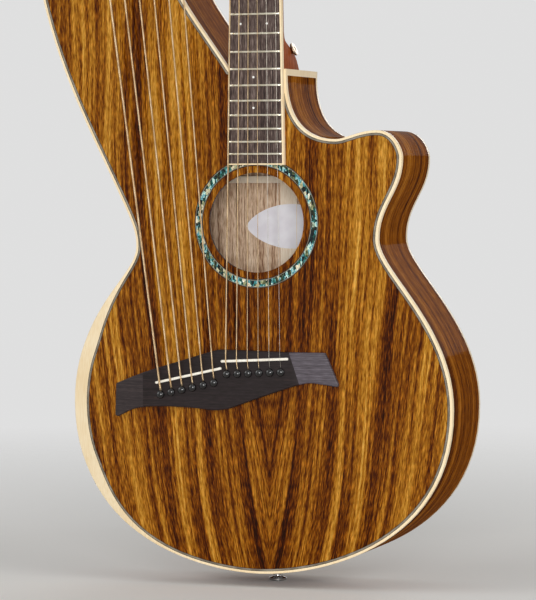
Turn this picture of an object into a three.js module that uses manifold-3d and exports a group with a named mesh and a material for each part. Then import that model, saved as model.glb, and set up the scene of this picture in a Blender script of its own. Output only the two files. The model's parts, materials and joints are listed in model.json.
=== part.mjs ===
// Harp guitar: a steel-string cutaway guitar whose bass shoulder grows into a hollow arm
// that carries six free sub-bass strings beside the six fretted ones.
// Millimetres. X to the treble side, Y from the soundboard into the body, Z up along the neck.
// The model is laid out from the middle of the saddle line on the soundboard face,
// and the finished group is moved so that its origin is the face of the end pin jack.

import * as THREE from 'three';
import { mergeVertices } from 'three/addons/utils/BufferGeometryUtils.js';
import Module from 'manifold-3d';

const wasm = await Module();
wasm.setup();

// Fits
const seatGap = 0.3;
const runningGap = 0.06;
const cutOverrun = 4;

// Scale and frets
const scaleLength = 647.7;
const fretCount = 20;
const neckJointFret = 14;
const fretsPerOctave = 12;

// Body outline: reach is sideways from the neck's centre line, height is above the saddle line
const tailHeight = -217.5;
const lowerBoutHalfWidth = 202;
const lowerBoutHeight = -49;
const trebleWaistReach = 125.6;
const trebleWaistHeight = 118.7;
const hornReach = 150.2;
const hornDrop = 88.4;
const hornTopReach = 124;
const hornTopRise = 26.7;
const cutawayReach = 82.1;
const cutawayDip = 8.5;
const trebleJointReach = 30.5;
const bassJointReach = 29.6;
const armInnerReach = 106;
const armInnerHeight = 450;
const armEndInnerReach = 76;
const armEndInnerHeight = 672;
const armEndWidth = 127;
const armOuterReach = 244.6;
const armOuterHeight = 473;
const shoulderReach = 159.2;
const shoulderHeight = 184.8;
const bassWaistReach = 130.5;
const bassWaistHeight = 111.2;

// Body shell
const tailDepth = 107.7;
const neckJointDepth = 101.1;
const soundboardThickness = 3;
const backThickness = 2.8;
const sideThickness = 2.3;
const topBindingWidth = 2.5;
const topBindingDepth = 6;
const backBindingWidth = 2;
const backBindingDepth = 5;
const armBevelWidth = 16.3;
const armBevelDrop = 7;
const armBevelStartHeight = 92;
const armBevelFullHeight = 8;
const armBevelFadeHeight = -112;
const armBevelEndHeight = -207;
const liningReach = 5.5;
const liningDepth = 15;

// Soundhole and rosette
const soundholeRadius = 50;
const soundholeReach = -1.4;
const soundholeDrop = 57.6;
const rosetteMargin = 6.7;
const rosetteWidth = 9;
const rosetteThickness = 1.5;

// Blocks and bracing inside the body
const neckBlockMargin = 3.1;
const neckBlockClearance = 13;
const tailBlockHalfWidth = 34;
const tailBlockLength = 26;
const braceWidth = 7;
const braceHeight = 12;
const lightBraceHeight = 8;
const bridgePlateThickness = 2.6;
const braceCrossMargin = 31.4;
const holeBraceMargin = 8;
const upperBraceShare = 0.444;
const backStripWidth = 18;
const backStripThickness = 2.5;
const toneBarShares = [0.55, 0.8];
const toneBarReachShare = 0.7;
const bridgePlateShare = 0.8;
const ladderShares = [0.12, 0.36, 0.57, 0.782];
const armSpineShare = 0.7;
const armBarShares = [0.3, 0.58, 0.86];

// Neck, fretboard and heel
const fretboardThickness = 6;
const fretboardOverhang = 11;
const fretboardEndHalfWidth = 29.9;
const nutHalfWidth = 22.5;
const fretWidth = 2.4;
const fretCrown = 1.1;
const fretFootShare = 0.3;
const fretInset = 2;
const neckNutDepth = 15.5;
const neckShaftDepth = 18;
const heelSetback = 1.1;
const heelCapSetback = 13.1;
const heelLength = 37;
const nutThickness = 5;
const nutStringHeight = 1.5;
const nutWall = 0.9;

// Headstock
const headLength = 184;
const headThickness = 14.5;
const headTiltDegrees = 14;
const headTopHalfWidth = 37;
const headPostReach = 21.5;
const headFirstPost = 38;
const headPostSpacing = 35.3;

// Bridge, saddles and pins
const bridgeBassReach = 153;
const bridgeSpan = 239;
const bridgeTopHeight = 8;
const bridgeHeight = 70;
const bridgeThickness = 8.6;
const bridgeWingDrop = 5;
const bridgeBassCrease = 120.5;
const bridgeTrebleCrease = 43;
const bridgeTrebleCreaseDegrees = 19;
const bridgeCreaseShare = 0.25;
const saddleThickness = 2.6;
const saddleSlotDepth = 4.5;
const saddleRise = 2.5;
const saddleMargin = 6.9;
const mainSaddleReach = -0.35;
const mainSaddleHeight = -1.9;
const mainSaddleDegrees = 2.9;
const harpSaddleReach = -71;
const harpSaddleHeight = -18.6;
const harpSaddleDegrees = 12.7;
const pinSetback = 13;
const pinRadius = 4.2;
const pinHeight = 4;
const pinDomeShares = [[1, 0.3], [0.72, 0.8], [0, 1]];

// Strings, from the lowest main string to the highest and from the outermost sub-bass inwards
const mainStringDiameters = [1.35, 1.07, 0.81, 0.61, 0.41, 0.31];
const harpStringDiameters = [2.1, 1.9, 1.75, 1.6, 1.5, 1.4];
const mainSaddleSpacing = 11.47;
const mainStringOffset = -1.1;
const mainNutMargin = 2.8;
const mainNutOffset = -0.4;
const harpSaddleSpacing = 11.77;
const harpStringOffset = -1.5;
const harpNutOuterMargin = 7.95;
const harpNutInnerMargin = 23.55;
const harpLeanDegrees = 4.9;

// Harp head at the end of the arm
const harpHeadDrop = 5;
const harpHeadThickness = 15;
const harpHeadSweep = 26;
const harpHeadSweepStart = 5;
const harpHeadPostSpacing = 25;
const harpHeadPostLineDegrees = 38;
const harpHeadFirstPost = 39;
const harpHeadEdge = 13;
const harpHeadEdgeRun = 9;
const harpHeadTipReach = 15;
const harpNutThickness = 6;
const harpNutSetback = 3;
const harpNutHeight = 7.2;
const harpNutMargin = 4;

// Tuning machines
const gearTeeth = 14;
const gearModule = 0.8;
const gearWidth = 3.2;
const toothDepthShare = 0.9;
const toothRootShare = 0.248;
const toothTipShare = 0.136;
const meshClearanceShare = 0.15;
const wormRadius = 3.15;
const wormCoreRadius = 1.6;
const wormHalfLength = 2.7;
const threadRootShare = 0.3;
const threadCrestShare = 0.11;
const wormShaftRadius = 1.4;
const wormCollarRadius = 2.3;
const lugThickness = 3;
const lugWidth = 6;
const platePad = 1.2;
const plateSideMargin = 1.1;
const plateEndMargin = 10;
const postRadius = 3.1;
const postWaistRadius = 2.5;
const postHeight = 11;
const postWaistHeight = 7;
const postWaistShare = 0.7;
const gearHubRadius = 3.6;
const gearScrewRadius = 2.3;
const gearScrewHeight = 1;
const buttonClearance = 3.8;
const buttonLength = 18;
const buttonWidth = 16.5;
const buttonThickness = 8;
const buttonNeckRadius = 2.6;
const buttonNeckShare = 0.15;
const buttonProfileShares = [[0.42, 0.3], [0.5, 0.62], [0.36, 0.94], [0, 1]];

// Strap button and end pin jack
const strapButtonRadius = 6.7;
const strapButtonWaist = 3.6;
const strapButtonFoot = 5;
const strapButtonLength = 10;
const strapButtonWaistShares = [0.35, 0.6];
const strapButtonRimShare = 0.75;
const strapButtonRise = 17;
const strapButtonDepth = 34;
const strapButtonSink = 8.3;
const strapButtonDegrees = 25;
const jackDepth = 60;
const jackRadius = 9;
const jackWaist = 5;
const jackLength = 14;
const jackFlangeShare = 0.22;
const jackSocketRadius = 3.3;
const jackSocketDepth = 32;
const jackBarrelLength = 34;

// Number of straight steps that stand for each curve
const roundSides = 8;
const shaftSides = 6;
const threadSteps = 6;
const sweepSteps = 6;
const holeSides = 36;

// Worked-out sizes
const radians = THREE.MathUtils.degToRad;
const lerp = THREE.MathUtils.lerp;
const smoothstep = THREE.MathUtils.smoothstep;
const fretHeight = (fret) => scaleLength * 2 ** (-fret / fretsPerOctave);
const neckJointHeight = fretHeight(neckJointFret);
const backSlope = (neckJointDepth - tailDepth) / (neckJointHeight - tailHeight);
const backDepthAtSaddle = tailDepth - backSlope * tailHeight;
const backAt = (height) => backDepthAtSaddle + backSlope * height;
const backInnerAtSaddle = backDepthAtSaddle - backThickness - seatGap;
const headTilt = radians(headTiltDegrees);
const fretboardFace = -seatGap - fretboardThickness;
const bridgeFace = -seatGap - bridgeThickness;
const saddleTop = bridgeFace - saddleRise;
const stringPlaces = mainStringDiameters.map((_, index) => index);
const stringGaps = stringPlaces.length - 1;
const centred = (index) => index - stringGaps / 2;
const hornHeight = neckJointHeight - hornDrop;
const hornTopHeight = hornHeight + hornTopRise;
const cutawayHeight = hornTopHeight - cutawayDip;
const fretboardEndHeight = fretHeight(fretCount) - fretboardOverhang;
const soundholeHeight = fretboardEndHeight - soundholeDrop;
const rosetteInnerRadius = soundholeRadius + rosetteMargin;
const rosetteOuterRadius = rosetteInnerRadius + rosetteWidth;
const upperBraceHeight = lerp(soundholeHeight + soundholeRadius, cutawayHeight, upperBraceShare);
const braceCrossHeight = soundholeHeight - soundholeRadius - braceCrossMargin;
const neckBlockHalfWidth = bassJointReach - neckBlockMargin;
const neckBlockLength = neckJointHeight - upperBraceHeight - braceWidth / 2 - neckBlockClearance;
const neckBlockMiddle = neckJointHeight - neckBlockLength / 2;
const heelDepth = neckJointDepth - heelSetback;
const heelCapDepth = neckJointDepth - heelCapSetback;
const mainSaddleLength = stringGaps * mainSaddleSpacing + 2 * saddleMargin;
const harpSaddleLength = stringGaps * harpSaddleSpacing + 2 * saddleMargin;
const mainNutSpacing = (2 * (nutHalfWidth - mainNutMargin)) / stringGaps;
const harpNutSpacing = (armEndWidth - harpNutOuterMargin - harpNutInnerMargin) / stringGaps;
const gearPitchRadius = (gearTeeth * gearModule) / 2;
const wormPitch = Math.PI * gearModule;
const wormDistance = gearPitchRadius + (wormRadius + wormCoreRadius) / 2 + gearModule * meshClearanceShare;
const plateBack = -seatGap - platePad;
const gearMiddle = plateBack - wormRadius - seatGap;
const lugPlace = wormHalfLength + wormPitch * threadRootShare + 3 * seatGap + lugThickness / 2;
const plateWidth = 2 * (lugPlace + lugThickness / 2 + plateSideMargin);
const buttonStart = harpHeadEdge + buttonClearance;

// Materials
function finish(color, roughness, metalness = 0) {
  return new THREE.MeshStandardMaterial({ color, roughness, metalness });
}
const stripedWood = finish(0x8a5320, 0.22);
const spruce = finish(0xcdb083, 0.75);
const mahogany = finish(0x6b3a20, 0.35);
const creamPlastic = finish(0xe9dcb8, 0.35);
const abalone = finish(0x5f9c98, 0.25);
const darkFretboard = finish(0x4b382c, 0.55);
const blackWood = finish(0x1f1a1a, 0.4);
const bone = finish(0xeae4d2, 0.4);
const chrome = finish(0xc9cbcd, 0.15, 1);
const bronzeWound = finish(0xa98052, 0.35, 0.9);
const plainSteel = finish(0xb9b9b6, 0.25, 1);

const guitar = new THREE.Group();

function addPiece(name, geometry, material, parent = guitar) {
  const mesh = new THREE.Mesh(geometry, material);
  mesh.name = name;
  parent.add(mesh);
  return mesh;
}

// Solids for cutting and joining
function toSolid(geometry) {
  const bare = geometry.clone();
  for (const attribute of ['normal', 'uv']) bare.deleteAttribute(attribute);
  const merged = mergeVertices(bare);
  return new wasm.Manifold(new wasm.Mesh({
    numProp: 3,
    vertProperties: new Float32Array(merged.attributes.position.array),
    triVerts: new Uint32Array(merged.index.array),
  }));
}

function toGeometry(solid) {
  const mesh = solid.getMesh();
  const geometry = new THREE.BufferGeometry();
  geometry.setAttribute('position', new THREE.BufferAttribute(new Float32Array(mesh.vertProperties), 3));
  geometry.setIndex(new THREE.BufferAttribute(new Uint32Array(mesh.triVerts), 1));
  geometry.computeVertexNormals();
  return geometry;
}

const joined = (geometries) => geometries.map(toSolid).reduce((sum, solid) => sum.add(solid));
const without = (solid, cutters) => cutters.map(toSolid)
  .reduce((rest, cutter) => rest.subtract(cutter), solid);

// Rings of points joined in order into one closed body, open-ended ones capped
function loft(rings, closed = false) {
  const sides = rings[0].length;
  const positions = rings.flat().flatMap((point) => [point.x, point.y, point.z]);
  const faces = [];
  const spans = closed ? rings.length : rings.length - 1;
  for (let ring = 0; ring < spans; ring += 1) {
    const next = (ring + 1) % rings.length;
    for (let side = 0; side < sides; side += 1) {
      const other = (side + 1) % sides;
      const [a, b] = [ring * sides + side, ring * sides + other];
      const [c, d] = [next * sides + side, next * sides + other];
      faces.push([a, b, d], [a, d, c]);
    }
  }
  if (!closed) {
    const last = (rings.length - 1) * sides;
    faces.push(...capTriangles(rings[0]).map(([a, b, c]) => [c, b, a]));
    faces.push(...capTriangles(rings.at(-1)).map((corners) => corners.map((index) => last + index)));
  }
  const geometry = new THREE.BufferGeometry();
  geometry.setAttribute('position', new THREE.Float32BufferAttribute(positions, 3));
  const insideOut = volumeOf(faces, positions) < 0;
  geometry.setIndex(faces.flatMap(([a, b, c]) => (insideOut ? [a, c, b] : [a, b, c])));
  geometry.computeVertexNormals();
  return geometry;
}

// A flat ring is cut into triangles in its own plane, in the ring's turning sense
function capTriangles(ring) {
  const normal = new THREE.Vector3();
  ring.forEach((point, index) => normal.add(point.clone().cross(ring[(index + 1) % ring.length])));
  normal.normalize();
  const across = ring[1].clone().sub(ring[0]).projectOnPlane(normal).normalize();
  const along = normal.clone().cross(across);
  const flat = ring.map((point) => new THREE.Vector2(point.dot(across), point.dot(along)));
  return THREE.ShapeUtils.triangulateShape(flat, []);
}

function volumeOf(faces, positions) {
  const corner = (index) => new THREE.Vector3().fromArray(positions, index * 3);
  return faces.reduce((sum, [a, b, c]) => sum + corner(a).dot(corner(b).cross(corner(c))), 0);
}

// A plate of a front-view outline, from one depth to a deeper one
function plate(outline, front, thickness, holes = []) {
  const shape = new THREE.Shape(outline);
  shape.holes = holes.map((hole) => new THREE.Path(hole));
  const geometry = new THREE.ExtrudeGeometry(shape, { depth: thickness, bevelEnabled: false });
  geometry.rotateX(Math.PI / 2);
  return geometry.translate(0, front + thickness, 0);
}

// The back and what lies on it follow the body's taper in depth
function taperToBack(geometry) {
  return geometry.applyMatrix4(new THREE.Matrix4().makeShear(0, 0, 0, 0, 0, backSlope));
}

function box(width, depth, height, x, y, z, degrees = 0) {
  const geometry = new THREE.BoxGeometry(width, depth, height);
  return geometry.rotateY(-radians(degrees)).translate(x, y, z);
}

function circle(x, z, radius, sides) {
  return Array.from({ length: sides }, (_, index) => {
    const angle = (2 * Math.PI * index) / sides;
    return new THREE.Vector2(x + radius * Math.cos(angle), z + radius * Math.sin(angle));
  });
}

// A turned piece: profile of [radius, place along the axis], on an axis that runs along +Z
function turned(profile, sides = roundSides) {
  const points = profile.map(([radius, place]) => new THREE.Vector2(radius, place));
  return new THREE.LatheGeometry(points, sides).rotateX(Math.PI / 2);
}

// Front-view outline of body and arm, anticlockwise from the tail
const heading = (degrees) => new THREE.Vector2(Math.cos(radians(degrees)), Math.sin(radians(degrees)));

function bend(from, fromDegrees, fromShare, to, toDegrees, toShare, steps) {
  const chord = from.distanceTo(to);
  const leave = heading(fromDegrees).multiplyScalar(fromShare * chord).add(from);
  const arrive = heading(toDegrees).multiplyScalar(-toShare * chord).add(to);
  return new THREE.CubicBezierCurve(from, leave, arrive, to).getPoints(steps).slice(0, -1);
}

const place = (reach, height) => new THREE.Vector2(reach, height);
const tail = place(0, tailHeight);
const trebleBout = place(lowerBoutHalfWidth, lowerBoutHeight);
const trebleWaist = place(trebleWaistReach, trebleWaistHeight);
const horn = place(hornReach, hornHeight);
const hornTop = place(hornTopReach, hornTopHeight);
const cutaway = place(cutawayReach, cutawayHeight);
const trebleJoint = place(trebleJointReach, neckJointHeight);
const neckJoint = place(0, neckJointHeight);
const bassJoint = place(-bassJointReach, neckJointHeight);
const armInner = place(-armInnerReach, armInnerHeight);
const armEndInner = place(-armEndInnerReach, armEndInnerHeight);
const armOuter = place(-armOuterReach, armOuterHeight);
const shoulder = place(-shoulderReach, shoulderHeight);
const bassWaist = place(-bassWaistReach, bassWaistHeight);
const bassBout = place(-lowerBoutHalfWidth, lowerBoutHeight);

// The arm's end stands square to the lean of the sub-bass strings
const harpLean = heading(90 + harpLeanDegrees);
const armAcross = heading(180 + harpLeanDegrees);
const armEndOuter = armEndInner.clone().addScaledVector(armAcross, armEndWidth);

const trebleOutline = [
  ...bend(tail, 0, 0.255, trebleBout, 90, 0.51, 9),
  ...bend(trebleBout, 90, 0.458, trebleWaist, 90, 0.172, 8),
  ...bend(trebleWaist, 90, 0.414, horn, 90, 0.404, 6),
  ...bend(horn, 90, 0.15, hornTop, 180, 0.528, 5),
  ...bend(hornTop, 180, 0.407, cutaway, 180, 0.216, 4),
  ...bend(cutaway, 180, 0.525, trebleJoint, 86.3, 0.348, 7),
  trebleJoint,
];
const bassOutline = [
  neckJoint,
  ...bend(bassJoint, 124, 0.4, armInner, 90, 0.38, 7),
  ...bend(armInner, 90, 0.35, armEndInner, 78, 0.3, 6),
  armEndInner,
  ...bend(armEndOuter, 248, 0.33, armOuter, 270, 0.36, 6),
  ...bend(armOuter, 270, 0.408, shoulder, 296.5, 0.289, 9),
  ...bend(shoulder, 296.5, 0.679, bassWaist, 270, 0.211, 5),
  ...bend(bassWaist, 270, 0.19, bassBout, 270, 0.543, 8),
  ...bend(bassBout, 270, 0.51, tail, 0, 0.255, 9),
];
const bodyOutline = [...trebleOutline, ...bassOutline];

// Inward direction at each outline point, lengthened at corners so that insets stay even
const inward = bodyOutline.map((point, index) => {
  const before = bodyOutline.at(index - 1);
  const after = bodyOutline[(index + 1) % bodyOutline.length];
  const first = point.clone().sub(before).normalize();
  const second = after.clone().sub(point).normalize();
  const turn = place(-first.y - second.y, first.x + second.x);
  return turn.divideScalar(1 + first.dot(second));
});

// The cream arm bevel widens along the bass side of the lower bout
const bevelShares = bodyOutline.map((point) => {
  if (point.x > 0) return 0;
  const above = 1 - smoothstep(point.y, armBevelFullHeight, armBevelStartHeight);
  const below = smoothstep(point.y, armBevelEndHeight, armBevelFadeHeight);
  return above * below;
});
const bindingWidths = bevelShares.map((share) => lerp(topBindingWidth, armBevelWidth, share));
const bevelDrops = bevelShares.map((share) => armBevelDrop * share);

// Linings stop where the neck and tail blocks stand
const liningWidths = bodyOutline.map((point, index) => {
  const atNeckBlock = point.y > neckJointHeight - neckBlockLength - liningDepth
    && point.x > -bassJointReach - seatGap && point.x < cutawayReach / 2 + liningReach;
  const atTailBlock = point.y < lowerBoutHeight && Math.abs(point.x) < tailBlockHalfWidth + liningDepth;
  return bindingWidths[index] + seatGap + (atNeckBlock || atTailBlock ? sideThickness / 4 : liningReach);
});

const insetPoint = (index, inset) => bodyOutline[index].clone().addScaledVector(inward[index], inset);
const insetOutline = (insetAt) => bodyOutline.map((_, index) => insetPoint(index, insetAt(index)));
const insetRing = (index, section) => section.map(([inset, depth]) => {
  const point = insetPoint(index, inset);
  return new THREE.Vector3(point.x, depth, point.y);
});

function soundboard() {
  const hole = circle(soundholeReach, soundholeHeight, soundholeRadius, holeSides);
  const outline = insetOutline((index) => bindingWidths[index] + seatGap);
  const board = toSolid(plate(outline, 0, soundboardThickness, [hole]));
  const channelOuter = circle(soundholeReach, soundholeHeight, rosetteOuterRadius + seatGap, holeSides);
  const channelInner = circle(soundholeReach, soundholeHeight, rosetteInnerRadius - seatGap, holeSides);
  const channel = plate(channelOuter, -cutOverrun, cutOverrun + rosetteThickness + seatGap, [channelInner]);
  return toGeometry(without(board, [channel]));
}

function rosette() {
  const outer = circle(soundholeReach, soundholeHeight, rosetteOuterRadius, holeSides);
  const inner = circle(soundholeReach, soundholeHeight, rosetteInnerRadius, holeSides);
  return plate(outer, 0, rosetteThickness, [inner]);
}

function backPlate() {
  const outline = insetOutline(() => backBindingWidth + seatGap);
  return taperToBack(plate(outline, backDepthAtSaddle - backThickness, backThickness));
}

function topBinding() {
  return loft(bodyOutline.map((_, index) => insetRing(index, [
    [topBindingWidth, topBindingDepth + bevelDrops[index]],
    [bindingWidths[index], soundboardThickness],
    [bindingWidths[index], 0],
    [0, bevelDrops[index]],
    [0, topBindingDepth + bevelDrops[index]],
  ])), true);
}

function backBinding() {
  return loft(bodyOutline.map((point, index) => {
    const back = backAt(point.y);
    return insetRing(index, [
      [0, back - backBindingDepth],
      [0, back],
      [backBindingWidth, back],
      [backBindingWidth, back - backBindingDepth],
    ]);
  }), true);
}

// One bent side with its triangular linings, seen in section from the outer face inwards
function sideSection(index) {
  const back = backAt(bodyOutline[index].y);
  const rebate = topBindingDepth + bevelDrops[index] + seatGap;
  const backLedge = back - backThickness - seatGap;
  const backLining = backBindingWidth + liningWidths[index] - bindingWidths[index];
  return [
    [0, rebate],
    [topBindingWidth + seatGap, rebate],
    [bindingWidths[index] + seatGap, soundboardThickness + seatGap],
    [liningWidths[index], soundboardThickness + seatGap],
    [sideThickness, rebate + liningDepth],
    [sideThickness, backLedge - liningDepth],
    [backLining, backLedge],
    [backBindingWidth + seatGap, backLedge],
    [backBindingWidth + seatGap, back - backBindingDepth - seatGap],
    [0, back - backBindingDepth - seatGap],
  ];
}

// The jack's barrel passes between the two sides at the tail and into the tail block
function jackBore() {
  const radius = jackWaist + seatGap;
  const end = jackBarrelLength + seatGap;
  const bore = turned([[0, -cutOverrun], [radius, -cutOverrun], [radius, end], [0, end]], 2 * roundSides);
  return bore.translate(0, jackDepth, tailHeight);
}

function side(first, last) {
  const rings = [];
  for (let index = first; index <= last; index += 1) {
    const sample = index % bodyOutline.length;
    const ring = insetRing(sample, sideSection(sample));
    const towards = index === first ? 1 : -1;
    const atSplit = index === first || index === last;
    const step = bodyOutline[(index + towards + bodyOutline.length) % bodyOutline.length].x;
    if (atSplit) ring.forEach((point) => { point.x += Math.sign(step) * seatGap / 2; });
    rings.push(ring);
  }
  return toGeometry(without(toSolid(loft(rings)), [jackBore()]));
}

function neckBlock() {
  const top = neckJointHeight - topBindingWidth - sideThickness / 4 - 2 * seatGap;
  const bottom = neckJointHeight - neckBlockLength;
  const front = soundboardThickness + seatGap;
  const depth = backAt(neckJointHeight) - backThickness - seatGap - front;
  const block = box(2 * neckBlockHalfWidth, depth, top - bottom, 0, front + depth / 2, (top + bottom) / 2);
  const inside = insetOutline((index) => liningWidths[index] + seatGap);
  return toGeometry(toSolid(block).intersect(toSolid(plate(inside, 0, tailDepth))));
}

function tailBlock() {
  const front = soundboardThickness + seatGap;
  const top = tailHeight + tailBlockLength;
  const depth = backAt(top) - backThickness - seatGap - front;
  const inside = insetOutline((index) => liningWidths[index] + seatGap);
  const block = box(2 * tailBlockHalfWidth, depth, 2 * tailBlockLength, 0, front + depth / 2, tailHeight);
  return toGeometry(without(toSolid(block).intersect(toSolid(plate(inside, 0, tailDepth))), [jackBore()]));
}

// Bars are laid across the body and trimmed where the linings begin
const bar = (from, to, width, height, front) => {
  const length = from.distanceTo(to);
  const degrees = THREE.MathUtils.radToDeg(Math.atan2(to.y - from.y, to.x - from.x));
  const middle = from.clone().add(to).divideScalar(2);
  return box(length, height, width, middle.x, front + height / 2, middle.y, degrees);
};

const levelBar = (fromReach, toReach, height, barHeight, front) => bar(
  place(fromReach, height), place(toReach, height), braceWidth, barHeight, front,
);
function neckBlockRoom() {
  const width = 2 * (neckBlockHalfWidth + seatGap);
  return box(width, 2 * tailDepth, neckBlockLength + 2 * seatGap, 0, tailDepth, neckBlockMiddle);
}

function topBracing() {
  const front = soundboardThickness + seatGap;
  const span = 2 * lowerBoutHalfWidth;
  const depth = neckShaftDepth + braceHeight;
  const cross = place(soundholeReach, braceCrossHeight);
  const arms = [45, 135].map((degrees) => {
    const reach = heading(degrees).multiplyScalar(span);
    return bar(cross.clone().sub(reach), cross.clone().add(reach), braceWidth, braceHeight, front);
  });
  const upper = levelBar(-span, trebleWaistReach, upperBraceHeight, braceHeight, front);
  const holeBraceReach = soundholeRadius + holeBraceMargin;
  const holeBraces = [-holeBraceReach, holeBraceReach].map((reach) => bar(
    cross.clone().add(place(reach, holeBraceReach)),
    place(cross.x + reach, upperBraceHeight),
    braceWidth, lightBraceHeight, front,
  ));
  const toneBarReach = lowerBoutHalfWidth * toneBarReachShare;
  const toneBars = toneBarShares.map((share) => {
    const height = lerp(braceCrossHeight, tailHeight, share);
    return levelBar(-lowerBoutHalfWidth, toneBarReach, height, lightBraceHeight, front);
  });
  const spineFoot = place(soundholeReach, lerp(braceCrossHeight, tailHeight, toneBarShares.at(-1)));
  const spine = bar(cross, spineFoot, braceWidth, lightBraceHeight, front);
  const plateHeight = bridgeTopHeight - bridgeHeight / 2;
  const bridgePlate = bar(
    place(-bridgeBassCrease, plateHeight),
    place(bridgeTrebleCrease, plateHeight),
    bridgeHeight * bridgePlateShare, bridgePlateThickness, front,
  );
  const armFoot = place(-shoulderReach * armSpineShare, upperBraceHeight);
  const armTop = armEndInner.clone().add(armEndOuter).divideScalar(2);
  const armSpine = bar(armFoot, armTop, braceWidth, lightBraceHeight, front);
  const armBars = armBarShares.map((share) => (
    levelBar(-armOuterReach, 0, lerp(armFoot.y, armTop.y, share), lightBraceHeight, front)
  ));
  const lattice = joined([
    ...arms, upper, ...holeBraces, ...toneBars, spine, bridgePlate, armSpine, ...armBars,
  ]);
  const inside = plate(insetOutline((index) => liningWidths[index] + 2 * seatGap), 0, depth);
  const hole = circle(soundholeReach, soundholeHeight, soundholeRadius + seatGap, holeSides);
  return toGeometry(without(lattice.intersect(toSolid(inside)), [plate(hole, 0, depth), neckBlockRoom()]));
}

function backBracing() {
  const inner = backInnerAtSaddle;
  const ladderHeights = ladderShares.map((share) => lerp(tailHeight, neckJointHeight, share));
  const ladder = ladderHeights.map((height) => (
    levelBar(-lowerBoutHalfWidth, lowerBoutHalfWidth, height, braceHeight, inner - braceHeight)
  ));
  const stripFoot = place(0, tailHeight + tailBlockLength + seatGap);
  const stripTop = place(0, neckJointHeight - neckBlockLength - seatGap);
  const strip = bar(stripFoot, stripTop, backStripWidth, backStripThickness, inner - backStripThickness);
  const armFoot = place(-shoulderReach * armSpineShare, ladderHeights.at(-1));
  const armTop = armEndInner.clone().add(armEndOuter).divideScalar(2);
  const armStrip = bar(armFoot, armTop, backStripWidth, backStripThickness, inner - backStripThickness);
  const armBars = armBarShares.map((share) => levelBar(
    -armOuterReach, 0, lerp(armFoot.y, armTop.y, share), lightBraceHeight, inner - lightBraceHeight,
  ));
  const lattice = joined([...ladder, strip, armStrip, ...armBars]);
  const inside = plate(insetOutline((index) => liningWidths[index] + 2 * seatGap), 0, tailDepth);
  return taperToBack(toGeometry(without(lattice.intersect(toSolid(inside)), [neckBlockRoom()])));
}

// Saddles stand in slots of the bridge, and each string crosses one
function saddleFrame(reach, height, degrees) {
  return { middle: place(reach, height), along: heading(degrees), degrees };
}
const mainSaddle = saddleFrame(mainSaddleReach, mainSaddleHeight, mainSaddleDegrees);
const harpSaddle = saddleFrame(harpSaddleReach, harpSaddleHeight, harpSaddleDegrees);
const mainCrossings = stringPlaces.map((index) => mainSaddle.middle.clone()
  .addScaledVector(mainSaddle.along, centred(index) * mainSaddleSpacing + mainStringOffset));
const harpCrossings = stringPlaces.map((index) => harpSaddle.middle.clone()
  .addScaledVector(harpSaddle.along, centred(index) * harpSaddleSpacing + harpStringOffset));
const pinPlaces = [...harpCrossings, ...mainCrossings]
  .map((crossing) => place(crossing.x, crossing.y - pinSetback));

const saddleBlank = (frame, length, thickness, top, bottom) => box(
  length, bottom - top, thickness, frame.middle.x, (top + bottom) / 2, frame.middle.y, frame.degrees,
);

function saddle(frame, length) {
  return saddleBlank(frame, length, saddleThickness, saddleTop, bridgeFace + saddleSlotDepth);
}

// Bridge outline from its upper left end, clockwise, in shares of its span and height
const bridgeOutlineShares = [
  [0.005, 0.519], [0.136, 0.35], [0.452, 0.02], [0.49, 0], [0.642, 0.009], [0.797, 0.024], [0.941, 0.023],
  [1, 0.476], [0.996, 0.509], [0.897, 0.459], [0.843, 0.474], [0.701, 0.629], [0.584, 0.771], [0.517, 0.85],
  [0.454, 0.874], [0.381, 0.851], [0.218, 0.834], [0.132, 0.854], [0.077, 0.897], [0.014, 1], [0, 0.986],
  [0.003, 0.71],
];

function bridge() {
  const outline = bridgeOutlineShares.map(([acrossShare, downShare]) => place(
    bridgeSpan * acrossShare - bridgeBassReach,
    bridgeTopHeight - bridgeHeight * downShare,
  ));
  const wing = (creaseReach, endReach, degrees) => {
    const run = endReach - creaseReach;
    const profile = new THREE.Shape([
      new THREE.Vector2(0, 0),
      new THREE.Vector2(run, bridgeWingDrop),
      new THREE.Vector2(run * 2, bridgeWingDrop * 2),
      new THREE.Vector2(run * 2, -cutOverrun),
      new THREE.Vector2(0, -cutOverrun),
    ]);
    const cutter = new THREE.ExtrudeGeometry(profile, { depth: bridgeHeight * 2, bevelEnabled: false });
    cutter.translate(0, 0, -bridgeHeight).rotateY(radians(degrees));
    return cutter.translate(creaseReach, bridgeFace, bridgeTopHeight - bridgeHeight * bridgeCreaseShare);
  };
  const slotFloor = bridgeFace + saddleSlotDepth + seatGap;
  const slotWidth = saddleThickness + 2 * seatGap;
  const slots = [[mainSaddle, mainSaddleLength], [harpSaddle, harpSaddleLength]].map(([frame, length]) => (
    saddleBlank(frame, length + 2 * seatGap, slotWidth, bridgeFace - cutOverrun, slotFloor)
  ));
  const cutters = [
    wing(-bridgeBassCrease, -bridgeBassReach, 0),
    wing(bridgeTrebleCrease, bridgeSpan - bridgeBassReach, -bridgeTrebleCreaseDegrees),
    ...slots,
  ];
  const pins = pinPlaces.map((pin) => {
    const dome = pinDomeShares.map(([radiusShare, riseShare]) => (
      [pinRadius * radiusShare, pinHeight * riseShare]
    ));
    const profile = [[0, -seatGap], [pinRadius, -seatGap], ...dome];
    return turned(profile).rotateX(Math.PI / 2).translate(pin.x, bridgeFace, pin.y);
  });
  const block = without(toSolid(plate(outline, bridgeFace, bridgeThickness)), cutters);
  return toGeometry(block.add(joined(pins)));
}

// Neck, fretboard and nut
const fretboardTaper = (fretboardEndHalfWidth - nutHalfWidth) / (scaleLength - fretboardEndHeight);
const fretboardHalfWidth = (height) => nutHalfWidth + fretboardTaper * (scaleLength - height);

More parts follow.
